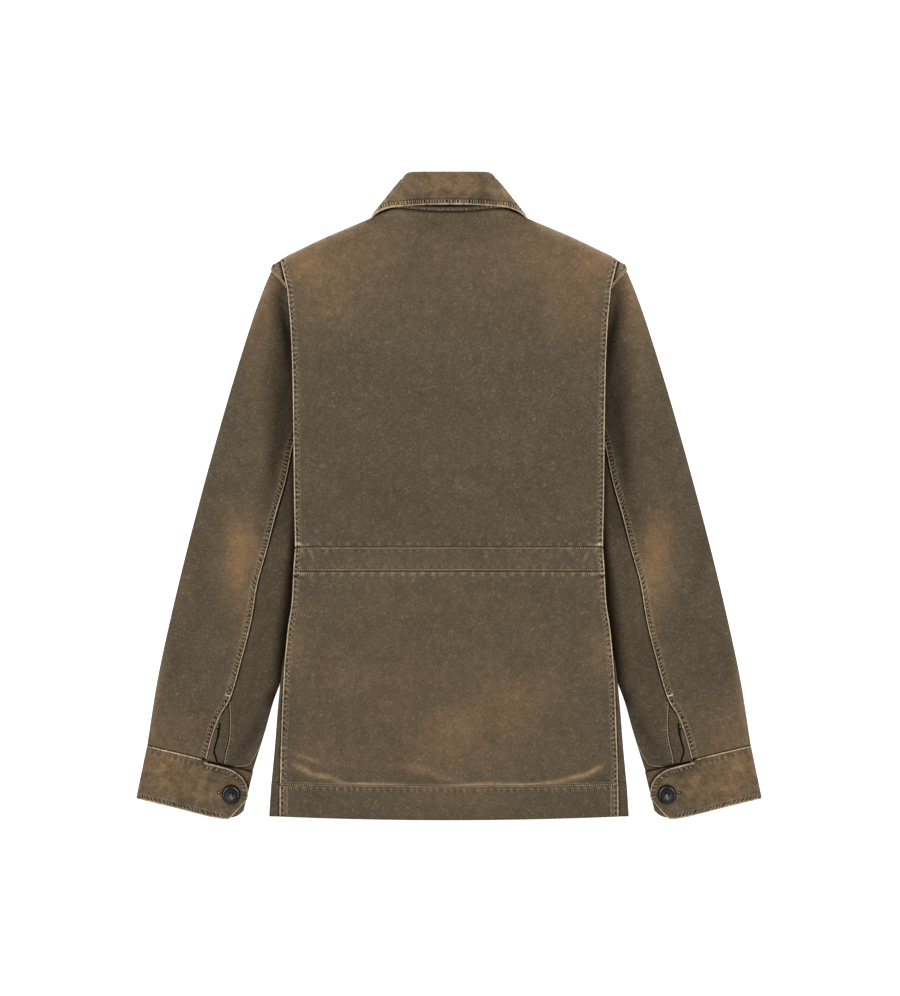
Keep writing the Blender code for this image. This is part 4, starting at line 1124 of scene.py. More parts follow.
def sleeve_shade(points):
    """Painted shade on the top sleeve: in its fold, and black along the body's edge."""
    gap = beside_body(points)
    begins, full, leaves, deep, at_edge = np.moveaxis(fold_shade_table(points[..., 1]), -1, 0)
    shade = at_edge + (deep - at_edge) * ease(0.6 * leaves, leaves, gap)
    shade = shade * np.clip((begins - gap) / (begins - full), 0.0, 1.0) ** 1.3
    hugging = ease(-70.0, -20.0, points[..., 1]) * (0.3 + 0.7 * ease(224.0, 190.0, points[..., 1]))
    black = 0.97 * ease(2.4, 0.9, gap) * hugging
    return ovals(points, SHADED, True) + np.maximum(np.clip(shade, 0.0, 1.0), black)


def sleeve_rim(points):
    """How pale the sleeve is rubbed along its outer fold."""
    gap = near_line(points, outer_fold(np.linspace(0.0, 1.0, 60)))[0]
    upper = ease(170.0, 250.0, points[..., 1])
    lower = ease(-150.0, -220.0, points[..., 1])
    return (0.02 + 0.13 * upper + 0.09 * lower) * ease(9.0, 0.0, gap)


print("darkest in the fold:", max(f.deep for f in FOLD_SHADES))

# %% [markdown]
# ## The top sleeves
# The cloth begins at its seam over the under sleeve, crosses to the outer fold, turns
# round it and comes back along the floor. Long soft ridges that run down the arm could be
# simulated. Listed one by one, they lie where the real ones do.

# %% Top sleeves
SLEEVE_CREASES = (
    Crease(214, 150, 90, 9, -76, 0.9), Crease(240, 90, 90, 13, -74, 0.7),
    Crease(216, 40, 60, 8, -78, 0.7), Crease(252, -10, 70, 12, -66, 0.7),
    Crease(236, -70, 34, 12, -80, 1.0), Crease(276, -88, 60, 12, -76, 0.6),
    Crease(262, -128, 46, 9, -60, 0.8), Crease(300, -150, 70, 13, -78, 0.6),
    Crease(276, -196, 50, 9, -70, 0.6), Crease(318, -226, 56, 12, -74, 0.7),
    Crease(300, -272, 34, 8, -30, 0.6), Crease(338, -268, 30, 8, -84, 0.6),
)
NEAR_SEAM = 40         # columns of the grid from the seam on, clear of the outer fold


def make_sleeve_top(side, side_name):
    along = np.linspace(0.0, 1.0, SLEEVE_ROWS)
    width = width_of(over_patch, along)
    lift = STEP * ease(*SEAM_LIFT, along)
    columns = []
    shares = [1.0 - d / width for d in EDGE_COLUMNS]
    foot = shares[-1]
    shares += [foot * (1.0 - s) + 0.022 * s for s in np.linspace(0.0, 1.0, 36)[1:]]
    for share in shares:
        plan = over_patch(share, along)
        distance = (1.0 - share) * width
        raised = lift * (1.0 - ease(SEAM_LIFT_WIDTH, SEAM_LIFT_WIDTH + SEAM_RAMP, distance))
        air = SLEEVE_AIR * ease(14.0, 60.0, distance) * ease(0.0, 0.08, along)
        place = with_height(plan, UPPER_PLY + raised + air)
        soft = ease(10.0, 24.0, distance) * ease(0.012, 0.05, along) * ease(0.985, 0.93, along)
        place[..., 2] += creases(place, SLEEVE_CREASES) * soft
        columns.append(place)
    radius = (STEP + SLEEVE_AIR * ease(0.0, 0.08, along)) / 2.0
    columns += fold_round(outer_fold(along), across_curve(outer_fold, along, 1), radius)
    for share in np.linspace(0.03, 1.0, 22):
        columns.append(with_height(over_patch(share, along), FLOOR_PLY))
    tucked = ALLOWANCE + GAP + STEP / 2.0 + CLOTH / 2.0
    last = 1.0 - tucked / width_of(below_patch, along)
    for share in np.linspace(0.0, 1.0, 14)[1:]:
        columns.append(with_height(below_patch(share * last, along), FLOOR_PLY))
    points = tuck_end(np.stack(columns, 1))
    along = np.append(along, 1.0)
    seam, seam_run = near_line(points, back_seam(np.linspace(0.0, 1.0, 90)))
    relief = allowance_relief(seam, seam_run, SLEEVE_SEWING, 4.6, 8.8)
    relief = relief * (np.arange(points.shape[1]) < NEAR_SEAM) * ease(0.1, 0.16, along)[:, None]
    return lay_cloth(
        "sleeve_top_" + side_name + "_panel", points, CLOTH,
        {"seam": seam, "seam_run": seam_run, "cuff_seam": TOP_LENGTH * (1.0 - along)[:, None],
         "cuff_seam_run": points[..., 0], "fade": ovals(points * (side, 1, 1), FADED),
         "deep": sleeve_shade(points), "pale": sleeve_rim(points)},
        sleeve_canvas, side, relief=relief)


tops = {name: make_sleeve_top(side, name) for side, name in SIDES}
print("top sleeves:", faces_of(*tops.values()), "faces")

# %% [markdown]
# ## Under sleeves and the vent
# The under sleeve lies in the shade of the body, which is painted on it, and it is less
# faded. Near the cuff the back seam opens into a vent. A dark line painted there would do
# from far off, but a real gap between the two pieces also holds when the light or the camera
# moves; the gap is painted dark as well.

# %% Under sleeves
VENT_BINDING = ((262.8, -246.2), (261.8, -269.2), (262.8, -291.2), (267.8, -313.2),
                (268.8, -326.0))
INNER_SEAM = ((223.9, -294.8), (227.8, -302.6), (232.4, -311.8), (235.6, -316.4),
              (238.6, -322.2), (244.0, -324.0), (257.9, -325.1), (268.0, -325.3))
VENT_LINE = vent_slit(np.linspace(0.885, 1.0, 24))
UNDER_CREASES = (
    Crease(204, -70, 60, 7, -74, 0.4), Crease(224, -160, 60, 8, -72, 0.5),
    Crease(240, -203, 12, 2.2, -14, 0.5), Crease(246, -300, 26, 5, 62, 0.7),
    Crease(232, -250, 34, 6, -66, 0.5),
)


def under_shade(points, fold_gap, end_distance):
    """Painted shade on the under sleeve: beside the body, at its seams and round the vent."""
    level = points[..., 1]
    gap = beside_body(points)
    seam_gap = near_line(points, back_seam(np.linspace(0.0, 0.86, 70)))[0]
    slit_gap = near_line(points, VENT_LINE)[0]
    below = ease(-216.0, -240.0, level)
    top = ease(-66.0, -24.0, level)
    reach = 12.5 + 8.5 * ease(-50.0, -130.0, level)
    in_shade = 0.28 + 0.3 * ease(8.0, 1.5, gap)
    past_body = 0.18 + 0.60 * ease(20.0, 0.0, fold_gap) * ease(-262.0, -240.0, level)
    deep = 0.22 + 0.78 * ease(reach, 1.5, gap) * (1.0 - top) + in_shade * top
    deep = deep * (1.0 - below) + past_body * below
    deep = deep + ovals(points, (Oval(232, -281, 44, 8, -57, 0.30),), True)
    wide = 1.5 + 1.3 * ease(-292.0, -284.0, level) * ease(-262.0, -268.0, level)
    deep = deep + 0.95 * ease(2.8, 1.0, seam_gap) + 0.98 * ease(wide, 0.5 * wide, slit_gap)
    return deep + 0.45 * ease(4.0, 0.0, end_distance) * below


def make_sleeve_under(side, side_name):
    along = np.linspace(0.0, 1.0, SLEEVE_ROWS)
    seam_side = under_patch(0.0, along)
    inner = under_patch(1.0, along)
    lap = SEAM_ALLOWANCE * ease(*LAP_BEGINS, along) * ease(*LAP_ENDS[::-1], along)
    towards = unit(inner - seam_side)
    start = seam_side + towards * (1.5 * GAP - lap)[:, None]
    radius = STEP / 2.0
    end = inner - towards * (radius + CLOTH / 2.0)
    columns = []
    width = np.linalg.norm(end - start, axis=-1)
    first = [d / width for d in (0.0, 0.5, 1.0, 1.5, 2.0, 3.0, 4.5)]
    for share in first + [first[-1] * (1.0 - s) + s for s in np.linspace(0.0, 1.0, 34)[1:-1]]:
        share = share[:, None]
        place = with_height(start + (end - start) * share, UPPER_PLY)
        soft = (ease(0.16, 0.3, share) * ease(1.0, 0.9, share))[:, 0]
        place[..., 2] += creases(place, UNDER_CREASES) * soft * ease(0.99, 0.96, along)
        columns.append(place)
    columns += fold_round(inner, across_curve(inner_fold, along, -1), radius)
    for share in (0.5, 1.0):
        back_in = inner - towards * (radius + CLOTH / 2.0 + ALLOWANCE * share)
        columns.append(with_height(back_in, FLOOR_PLY))
    points = tuck_end(np.stack(columns, 1))
    along = np.append(along, 1.0)
    inner = np.concatenate([inner, inner[-1:]])
    binding = smooth_curve(VENT_BINDING)(np.linspace(0.0, 1.0, 24))
    seam, seam_run = near_line(points, binding)
    # below zero on the side of the vent, so that the line itself stays sharp between points
    seam = seam * np.sign(np.interp(-points[..., 1], -binding[:, 1], binding[:, 0]) - points[..., 0])
    hem_line = np.array(INNER_SEAM)
    inner_seam = near_line(points, hem_line)[0]
    inner_seam = inner_seam * np.sign(points[..., 1] - np.interp(points[..., 0], *hem_line.T))
    end_distance = UNDER_LENGTH * (1.0 - along)[:, None]
    fold_gap = np.linalg.norm(points[..., :2] - inner[:, None], axis=-1)
    return lay_cloth(
        "sleeve_under_" + side_name + "_panel", points, CLOTH,
        {"seam": seam, "seam_run": seam_run, "inner": inner_seam, "inner_run": seam_run + 300.0,
         "cuff_seam": end_distance, "cuff_seam_run": points[..., 0],
         "fade": 0.35 * ovals(points * (side, 1, 1), FADED),
         "deep": under_shade(points, fold_gap, end_distance)},
        under_canvas, side)


unders = {name: make_sleeve_under(side, name) for side, name in SIDES}
print("under sleeves:", faces_of(*unders.values()), "faces")

# %% [markdown]
# ## The strip behind the vent
# Behind the open end of the seam a narrow strip of plain cloth closes the gap. It could
# be left to the dark, but a real edge there keeps the vent from looking like a hole.

# %% Vent plackets


def make_placket(side, side_name):
    along = np.linspace(0.905, 1.0, 26)
    slit = under_patch(0.0, along)
    under = over_patch(1.0 - ALLOWANCE / width_of(over_patch, along), along)
    slit = slit + unit(under - slit) * 0.6
    share = np.linspace(0.0, 1.0, 16)[None, :, None]
    plan = under[:, None] + (slit - under)[:, None] * share
    points = tuck_end(with_height(plan, UPPER_PLY))
    gap = near_line(points, VENT_LINE)[0]
    edge_gap = near_line(points, back_seam(np.linspace(0.85, 1.0, 20)))[0]
    # painted shade: black along the slit and under the top sleeve's edge, darker towards the top of
    # the vent
    shade = 0.04 + 0.95 * ease(1.6, 0.8, gap) + 0.6 * ease(2.0, 0.3, edge_gap)
    shade += 0.3 * ease(-262.0, -246.0, points[..., 1])
    return lay_cloth("vent_placket_" + side_name + "_strip", points, CLOTH,
                     {"fade": 0.0 * shade, "deep": shade}, plain_canvas, side)


plackets = {name: make_placket(side, name) for side, name in SIDES}
print("plackets:", faces_of(*plackets.values()), "faces")

# %% [markdown]
# ## The collar
# The collar is a stand with a fall that rolls over it and comes down outside. Laid flat,
# both turn under at the sides of the neck, between the back and the fronts. They could be
# curved strips bent by a modifier, but the flat lay is easier to say directly: at each
# station round the band, a line from the roll to the outer edge, and how far it has turned.

# %% Collar lines
CollarLine = namedtuple("CollarLine", "roll_x roll_y edge_x edge_y")
ROLL_GAP = 0.8
COLLAR_MID_Z = 2.0 * COLLAR_PLY + ROLL_GAP + GAP / 2.0
STAND_OUT = (COLLAR_PLY + GAP) / 2.0
FALL_OUT = STAND_OUT + COLLAR_PLY + ROLL_GAP
FALL_BACK = CollarLine(0.0, 386.2, 0.0, 347.4)
FALL_SIDE = CollarLine(56.6, 377.4, 92.4, 331.8)
FALL_FRONT = CollarLine(3.0, 309.0, 48.0, 250.0)
# the fall's edge by half-width: level in the middle, then down to its tips
FALL_EDGE = ((0.0, 348.8), (34.8, 348.2), (48.0, 347.2), (58.7, 346.2), (65.0, 345.7),
             (69.1, 345.1), (73.0, 344.2), (77.0, 342.8), (81.1, 341.1), (85.9, 338.4),
             (90.0, 335.0), (92.4, 332.2))
# the roll is level across the back of the neck and rounds down to the side fold
ROLL_LINE = ((0.0, 386.4), (40.0, 386.4), (46.5, 386.0), (50.6, 384.6), (54.0, 381.6),
             (56.6, 377.4))
STAND_BACK = CollarLine(0.0, 383.6, 0.0, 340.4)
STAND_SIDE = CollarLine(51.6, 379.6, 64.8, 345.4)
STAND_FRONT = CollarLine(3.0, 301.0, 3.0, 266.0)


def collar_stations(back, side, front, steps, leaf_steps):
    """Lines round half of the band, each with the angle that the ply has turned."""
    back, side, front = (np.array(line) for line in (back, side, front))
    stations = [(back + (side - back) * s, 0.0) for s in np.linspace(0.0, 1.0, steps)]
    stations += [(side.copy(), turn) for turn in FOLD_TURNS[1:]]
    shares = np.linspace(0.0, 1.0, leaf_steps)[1:]
    return stations + [(side + (front - side) * s, math.pi) for s in shares]


def side_direction(side):
    """Square to the fold at the collar's side, outwards."""
    run = math.dist((side.roll_x, side.roll_y), (side.edge_x, side.edge_y))
    return np.array([(side.roll_y - side.edge_y) / run, (side.edge_x - side.roll_x) / run])


def collar_grid(stations, rows, side):
    """rows: how far down each row is, as a share, its distance out, and its lift past the roll."""
    direction = side_direction(side)
    grid = []
    for down, distance, lift in rows:
        row = []
        for line, angle in stations:
            span = line[2:] - line[:2]
            place = line[:2] + span * (down - lift / np.hypot(*span))
            rounding = 0.45 + 0.16 * ease(0.0, 0.25, down) - 0.2 * ease(0.9, 1.0, down)
            place = place + direction * distance * rounding * math.sin(angle)
            row.append((*place, COLLAR_MID_Z + distance * math.cos(angle)))
        grid.append(row)
    half = np.array(grid)
    return np.concatenate([half[:, :0:-1] * (-1, 1, 1), half], 1)


print("square to the collar's side:", side_direction(FALL_SIDE).round(3))

# %% [markdown]
# ## The fall and the stand
# The edge of the fall is sewn all round, a few millimetres in, and that seam is the most
# puckered one of the jacket, with its edge rubbed almost white. Ribs as fine as these
# could be modelled, but the collar's own wear draws them with far fewer faces.

# %% Collar pieces
fall_stations = collar_stations(FALL_BACK, FALL_SIDE, FALL_FRONT, 64, 26)
middle_out = (FALL_OUT + STAND_OUT) / 2.0
roll_radius = (FALL_OUT - STAND_OUT) / 2.0
fall_rows = [(0.0, middle_out - roll_radius * math.cos(turn), roll_radius * math.sin(turn))
             for turn in FOLD_TURNS]
fall_rows += [(s, FALL_OUT, 0.0) for s in 1.0 - np.linspace(0.97, 0.0, 40) ** 1.15]
fall_edge = through([p[0] for p in FALL_EDGE], [p[1] for p in FALL_EDGE])
roll_line = smooth_curve(ROLL_LINE)
for line, angle in fall_stations:
    if line[2] > FALL_SIDE.edge_x - 1e-6:
        line[3] = FALL_EDGE[-1][1]
    elif angle == 0.0:
        line[3] = fall_edge(line[2:3])[0, 0]
        line[:2] = roll_line(np.array(line[0] / FALL_SIDE.roll_x))
fall_points = collar_grid(fall_stations, fall_rows, FALL_SIDE)
shown_x = np.abs(fall_points[..., 0])
fall_down = np.array([row[0] for row in fall_rows])[:, None]
leaf = np.array([angle for line, angle in fall_stations])     # how far the ply has turned
leaf = np.concatenate([leaf[:0:-1], leaf])[None, :]
fall_points[..., 2] += np.where(leaf < 1e-6, 1.1 * np.sin(math.pi * fall_down) ** 2
                                * (1.0 - ease(30.0, 62.0, shown_x)), 0.0)
fall_line = fall_points[-1, ::3, :2]
edge, edge_run = near_line(fall_points, fall_line)
edge = np.where(leaf < 1.6, edge, edge + 6.0)
# darker towards the fall's lower edge; painted shade where it turns under at the sides, and in the
# shaded ovals
collar_shade = 0.20 * ease(0.45, 0.85, fall_down) * (leaf < 1e-6) + 0.9 * ease(1.6, 2.4, leaf)
collar_shade = collar_shade + ovals(fall_points, SHADED, True) * (leaf < 1e-6)
side_fold = near_line(folded_over(fall_points), np.array([FALL_SIDE[:2], FALL_SIDE[2:]]))[0]
# paler along the side fold, and painted light on top of the roll, where its turn would shade it
collar_pale = 0.10 * ease(4.0, 0.0, side_fold) + 0.05 * ease(22.0, 12.0, side_fold)
collar_pale += 0.05 * ease(0.10, 0.0, fall_down)
fall = lay_cloth("collar_fall_canvas", fall_points, COLLAR_PLY,
                 {"edge": edge, "edge_run": edge_run, "fade": ovals(fall_points, FADED),
                  "deep": collar_shade, "pale": collar_pale}, collar_canvas,
                 relief=allowance_relief(edge, edge_run, (6.0,), 2.9, 3.4))
stand_stations = collar_stations(STAND_BACK, STAND_SIDE, STAND_FRONT, 40, 14)
stand_rows = [(s, STAND_OUT, 0.0) for s in np.linspace(0.0, 1.0, 20)]
for line, angle in stand_stations:
    if angle == 0.0:
        line[3] = min(line[3], neck_table(line[2:3])[0, 0] + 0.2)
stand_points = collar_grid(stand_stations, stand_rows, STAND_SIDE)
stand_edge, stand_run = near_line(stand_points, stand_points[-1, ::2, :2])
# painted shade: the stand lies under the fall, darkest just below the fall's edge, along the neck seam
# and towards the sides
stand_shade = 0.10 + 0.92 * ease(4.8, 6.4, stand_edge) + 0.7 * ease(1.2, 0.2, stand_edge)
stand_shade += 0.5 * ease(58.0, 70.0, np.abs(stand_points[..., 0]))
stand = lay_cloth("collar_stand_canvas", stand_points, COLLAR_PLY,
                  {"strip": stand_edge, "strip_run": stand_run, "fade": 0.0 * stand_edge,
                   "deep": stand_shade}, stand_canvas)
print("collar:", faces_of(fall, stand), "faces")

# %% [markdown]
# ## The cuffs
# Each cuff is a stiffened band. It goes round the end of the sleeve, and its free end is a
# rounded tab that laps over the under end and buttons there. The line round it is walked
# station by station, as the solid's is, with more of them. A bent strip would be simpler,
# but it couldn't change its upper and lower edge from station to station.

# %% Cuffs
CUFF_CORNER = (362.2, -300.2)
CUFF_ANGLE = math.radians(13.8)
CUFF_HEIGHT = 63.2
CUFF_LEAN = 2.3
TAB_START, TAB_RAMP, TAB_NOTCH, TAB_END = 69.0, 12.0, 3.0, 131.4
UNDER_END = 76.0
UNDER_STATIONS, TOP_STATIONS, TAB_STATIONS = 34, 88, 44     # of the line round the cuff
INNER_FOLD_AT = 131.0
BAND_EDGE = ((0.0, 63.2), (98.0, 63.2), (106.0, 62.4), (114.0, 60.4), (121.0, 57.3),
             (125.4, 54.4), (128.4, 51.2), (131.0, 46.6))
TabPlace = namedtuple("TabPlace", "along upper lower")
TAB_PLACES = (TabPlace(72.0, 3.0, 63.2), TabPlace(80.0, 3.0, 63.2), TabPlace(92.0, 3.0, 63.2),
              TabPlace(104.0, 3.6, 62.6), TabPlace(112.0, 5.8, 61.6),
              TabPlace(117.0, 8.0, 59.6), TabPlace(122.0, 11.2, 51.8),
              TabPlace(128.0, 18.6, 40.0), TabPlace(TAB_END, 27.0, 33.6))
tab_edges = through([p.along for p in TAB_PLACES], [p[1:] for p in TAB_PLACES])


def cuff_plan(along, down):
    """Where a place along the cuff and down it lies on the floor."""
    along = along + CUFF_LEAN * down / CUFF_HEIGHT * (1.0 - along / INNER_FOLD_AT)
    x = CUFF_CORNER[0] - along * math.cos(CUFF_ANGLE) + down * math.sin(CUFF_ANGLE)
    y = CUFF_CORNER[1] - along * math.sin(CUFF_ANGLE) - down * math.cos(CUFF_ANGLE)
    return np.stack([x, y], -1)


def cuff_stations():
    """Round the cuff: place along it, height, upper edge and lower edge."""
    floor = FACED / 2.0
    band = floor + FACED + GAP
    tab = band + FACED + GAP
    radius = (FACED + GAP) / 2.0
    inset = radius + FACED / 2.0
    turn_at = INNER_FOLD_AT - inset
    turns = np.array(FOLD_TURNS)
    across, up = radius * np.sin(turns), radius * np.cos(turns)
    line = [(a, band) for a in np.linspace(UNDER_END, turn_at, 30)[:-1]]
    line += list(zip(turn_at + across, floor + radius + up))
    line += [(a, floor) for a in np.linspace(turn_at, inset, 60)[1:-1]]
    line += list(zip(inset - across, floor + radius - up))
    line += [(a, band + (tab - band) * ease(TAB_START - TAB_RAMP, TAB_START, a))
             for a in np.linspace(inset, TAB_START, 46)[1:]]
    stations = [(a, z, 0.0, np.interp(a, *np.array(BAND_EDGE).T)) for a, z in line]
    shares = np.linspace(1.0, 0.0, TAB_STATIONS) ** 1.3
    places = TAB_END - (TAB_END - TAB_START - TAB_NOTCH) * shares
    return np.array(stations + [(a, tab, *tab_edges(np.array(a))) for a in places])


print("stations round a cuff:", len(cuff_stations()))

# %% [markdown]
# ## The cuffs as cloth
# The outline of a cuff wears all round, and its upper seam, its hem and its tab wear in
# their own ways. Only the ply on top shows, so the marks there are real distances, and
# elsewhere they are large enough for nothing to show.

# %% Cuff bands
BUTTON_PLACE = (260.9, -358.0)
CUFF_CREASES = (
    Crease(328, -322, 12, 4, 60, 0.35), Crease(308, -330, 12, 4, 66, 0.35),
    Crease(340, -346, 14, 5, 50, 0.30), Crease(296, -352, 16, 5, 70, 0.35),
    Crease(316, -356, 12, 4, 100, 0.30), Crease(276, -346, 14, 4, 40, 0.30),
)


def button_shadow(points):
    """Black just above the button, softer all round."""
    x = points[..., 0] - BUTTON_PLACE[0]
    y = points[..., 1] - BUTTON_PLACE[1]
    soft = 0.35 * ease(14.0, 9.5, np.hypot(x, y + 0.8))
    return soft + 0.7 * ease(12.4, 10.4, np.hypot(x, y - 0.9))


def make_cuff(side, side_name):
    along, height, upper, lower = cuff_stations().T
    share = np.linspace(0.0, 1.0, 42)[:, None]
    down = upper + (lower - upper) * share
    plan = cuff_plan(along + 0.0 * down, down)
    points = with_height(plan, height + 0.0 * down)
    place = np.arange(len(along))[None, :]
    on_top = place >= len(along) - TOP_STATIONS - 1
    points[..., 2] += creases(points, CUFF_CREASES) * on_top * np.sin(math.pi * share) ** 0.7
    tab_line = points[0, -TAB_STATIONS:, :2]
    outline = np.concatenate([tab_line, points[::2, -1, :2], points[-1, -TOP_STATIONS:, :2][::-1]])
    step = np.concatenate([[True], np.hypot(*np.diff(outline, axis=0).T) > 0.05])
    edge, run = near_line(points, outline[step])
    edge = np.where(on_top, edge, np.minimum(down - upper, lower - down))
    run = np.where(on_top, run, along + 0.0 * down)
    # the band's under end is plain, with the tab's shadow painted on it and painted shade along its
    # top edge
    under = place < UNDER_STATIONS
    edge = np.where(under, FAR, edge)
    from_tab = near_line(points, tab_line)[0]
    deep = under * (0.10 + 0.80 * ease(5.0, 1.0, from_tab) + 0.75 * ease(1.4, 0.2, down))
    # painted shade in the notch where the tab begins, the button's painted shadow, and the shaded
    # ovals
    deep = deep + 0.55 * on_top * np.exp(-(along - TAB_START + 0.9) ** 2) * (down < 5.0)
    deep = deep + (button_shadow(points) + ovals(points, SHADED, True)) * on_top
    band_top = np.where(on_top & (along < TAB_START - 0.5), down, FAR)
    hem_edge = np.where(on_top, lower - down, FAR) + FAR * ease(108.0, 114.0, along)
    tab_edge = np.where(on_top & (along > TAB_START + 1.5), from_tab, FAR)
    return lay_cloth(
        "cuff_" + side_name + "_band", points, FACED,
        {"edge": edge, "edge_run": run, "band_top": band_top, "band_top_run": along + 0.0 * down,
         "hem_edge": hem_edge, "hem_edge_run": along + 200.0 + 0.0 * down,
         "tab_edge": tab_edge, "tab_edge_run": run + 500.0,
         "fade": ovals(points * (side, 1, 1), FADED), "deep": deep,
         "pale": 0.10 * ease(6.0, 0.0, along)},
        cuff_canvas, side, relief=0.8 * allowance_relief(edge, run, (5.4,), 4.3, 3.6) * on_top)


cuffs = {name: make_cuff(side, name) for side, name in SIDES}
print("cuffs:", faces_of(*cuffs.values()), "faces")

# %% [markdown]
# ## Horn
# The cuff buttons are nearly black horn, half polished. A reflection in the lower half of
# the dish and highlights on the rim are painted into the colour. The nodes read two marks on
# the button's points, its places right of its middle and above it, so that the painted
# reflection lies where it does on the real one.

# %% Horn


def horn(name):
    material, tree, shader = new_material(name)
    cloud = speckle(tree, 5.0, 3.0, 11.0, 1.2)
    vein = speckle(tree, 2.2, 2.0, 12.0, 2.5).far(0.5).over(0.05, 0.0)
    right = mark(tree, "right_of_middle")
    up = mark(tree, "above_middle")
    radius = (right * right + up * up).math("SQRT")
    colour = mix(tree, cloud.over(0.35, 0.7), (0.0045, 0.0047, 0.0056), (0.0120, 0.0120, 0.0130))
    colour = mix(tree, vein * 0.25, colour, (0.0300, 0.0290, 0.0290))
    # painted reflection: a paler patch in the lower half of the dish, and a pale streak
    reflection_x = (right - 0.8) * (1.0 / 4.8)
    reflection_y = (up + 3.4) * (1.0 / 2.6)
    dish_reflection = (reflection_x * reflection_x + reflection_y * reflection_y).over(1.3, 0.1) * cloud.over(0.30, 0.55)
    colour = mix(tree, dish_reflection * 0.75, colour, (0.0900, 0.0820, 0.0760))
    streak = (right + up * 0.22 + 0.3).math("ABSOLUTE").over(0.65, 0.2)
    streak = streak * up.over(-5.4, -4.4) * up.over(0.4, -0.8)
    colour = mix(tree, streak * 0.55, colour, (0.4200, 0.3900, 0.3500))
    # painted highlights on the rim, where it stands highest
    across = right.math("ABSOLUTE")
    rim_highlight = (across * up * (1.0 / 42.0)).over(0.45, 0.95) + across.over(7.9, 9.0) * 0.4
    rim_highlight = rim_highlight * radius.far(9.0).over(0.65, 0.15)
    colour = mix(tree, rim_highlight.math("ADD", 0.0, clamp=True), colour, (0.1700, 0.1700, 0.1750))
    tree.links.new(colour, shader.inputs["Base Color"])
    tree.links.new((speckle(tree, 0.7, 3.0, 13.0) * 0.22 + 0.18).socket, shader.inputs["Roughness"])
    add_bump(tree, shader, speckle(tree, 1.4, 3.0, 14.0), 0.15, 0.1)
    shader.inputs["Specular IOR Level"].default_value = 0.16
    return material


button_horn = horn("button_horn")
print("button finish:", button_horn.name)

# %% [markdown]
# ## Buttons
# Each button is a disc with a raised rim, a dished middle and four holes. A profile turned
# by a Screw modifier gives the disc, and four cutters drill it. The holes go right
# through, and cotton thread crosses the dish from hole to hole.

# %% Buttons
BUTTON_BOTTOM = 3.0 * FACED + 3.0 * GAP
BUTTON_PROFILE = (             # radius and height, from the middle of the dish round the rim
    (0.0, 2.30), (3.2, 2.33), (5.6, 2.45), (7.0, 2.68), (7.8, 3.0), (8.4, 3.3), (8.9, 3.4),
    (9.4, 3.34), (9.9, 3.0), (10.15, 2.6), (10.2, 2.0), (9.9, 1.4), (9.0, 0.8), (7.8, 0.3),
    (6.6, 0.05), (0.0, 0.0),
)
HOLE_OFFSET = 1.65
HOLE_RADIUS = 1.05
HOLE_TURN = math.radians(-16.0)
HOLES_UP = 0.5                 # the holes are drilled a little above the middle


def hole_place(right, up):
    """Where a hole is, or a share of the way to it, from the middle of the button."""
    x, y = right * HOLE_OFFSET, up * HOLE_OFFSET
    return (x * math.cos(HOLE_TURN) - y * math.sin(HOLE_TURN),
            x * math.sin(HOLE_TURN) + y * math.cos(HOLE_TURN) + HOLES_UP)


def turn_button(name, material):
    mesh = bpy.data.meshes.new(name)
    points = [(r * MM, 0.0, z * MM) for r, z in BUTTON_PROFILE]
    mesh.from_pydata(points, [(i, i + 1) for i in range(len(points) - 1)], [])
    button = bpy.data.objects.new(name, mesh)
    bpy.context.scene.collection.objects.link(button)
    turn = button.modifiers.new("turn", "SCREW")
    turn.steps = turn.render_steps = 56
    turn.use_merge_vertices = True
    turn.merge_threshold = 0.00001
    drills = []
    for i in range(4):
        x, y = hole_place(1 if i % 2 else -1, 1 if i > 1 else -1)
        bpy.ops.mesh.primitive_cylinder_add(vertices=20, radius=HOLE_RADIUS * MM,
                                            depth=14 * MM, location=(x * MM, y * MM, 0.0))
        drill = bpy.context.object
        cut = button.modifiers.new("hole", "BOOLEAN")
        cut.object = drill
        drills.append(drill)
    bpy.context.view_layer.update()
    finished = button.evaluated_get(bpy.context.evaluated_depsgraph_get())
    made = bpy.data.meshes.new_from_object(finished)
    button.modifiers.clear()
    button.data = made
    for drill in drills:
        bpy.data.objects.remove(drill)
    button.data.materials.clear()
    button.data.materials.append(material)
    places = np.array([v.co for v in button.data.vertices]) / MM
    add_marks(button.data, {"right_of_middle": places[:, 0], "above_middle": places[:, 1]})
    button.data.shade_smooth()
    button.data.set_sharp_from_angle(angle=math.radians(38))
    return button


buttons = {}
for side, side_name in SIDES:
    button = turn_button("button_" + side_name, button_horn)
    button.data.transform(Matrix.Translation(
        (side * BUTTON_PLACE[0] * MM, BUTTON_PLACE[1] * MM, BUTTON_BOTTOM * MM)))
    buttons[side_name] = button
print("buttons:", [len(b.data.polygons) for b in buttons.values()])

# %% [markdown]
# ## Stitches
# The topstitching is a stout cotton thread, eight to ten stitches to the inch. Each
# stitch is a short capsule that dips into the cloth at both ends. There are thousands, so
# they aren't objects: one function walks a line on a panel, and arrays turn all of its
# stitches into one mesh.

# %% Sewing
Stitches = namedtuple("Stitches", "starts ends lies")
CAPSULE = ((0.0, 0.30, -0.75), (0.14, 0.85, 0.05), (0.5, 1.0, 0.40), (0.86, 0.85, 0.05),
           (1.0, 0.30, -0.75))         # share along, thickness and height of each ring
CAPSULE_SIDES = 6
CAPSULE_FACES = (len(CAPSULE) - 1) * CAPSULE_SIDES + 2


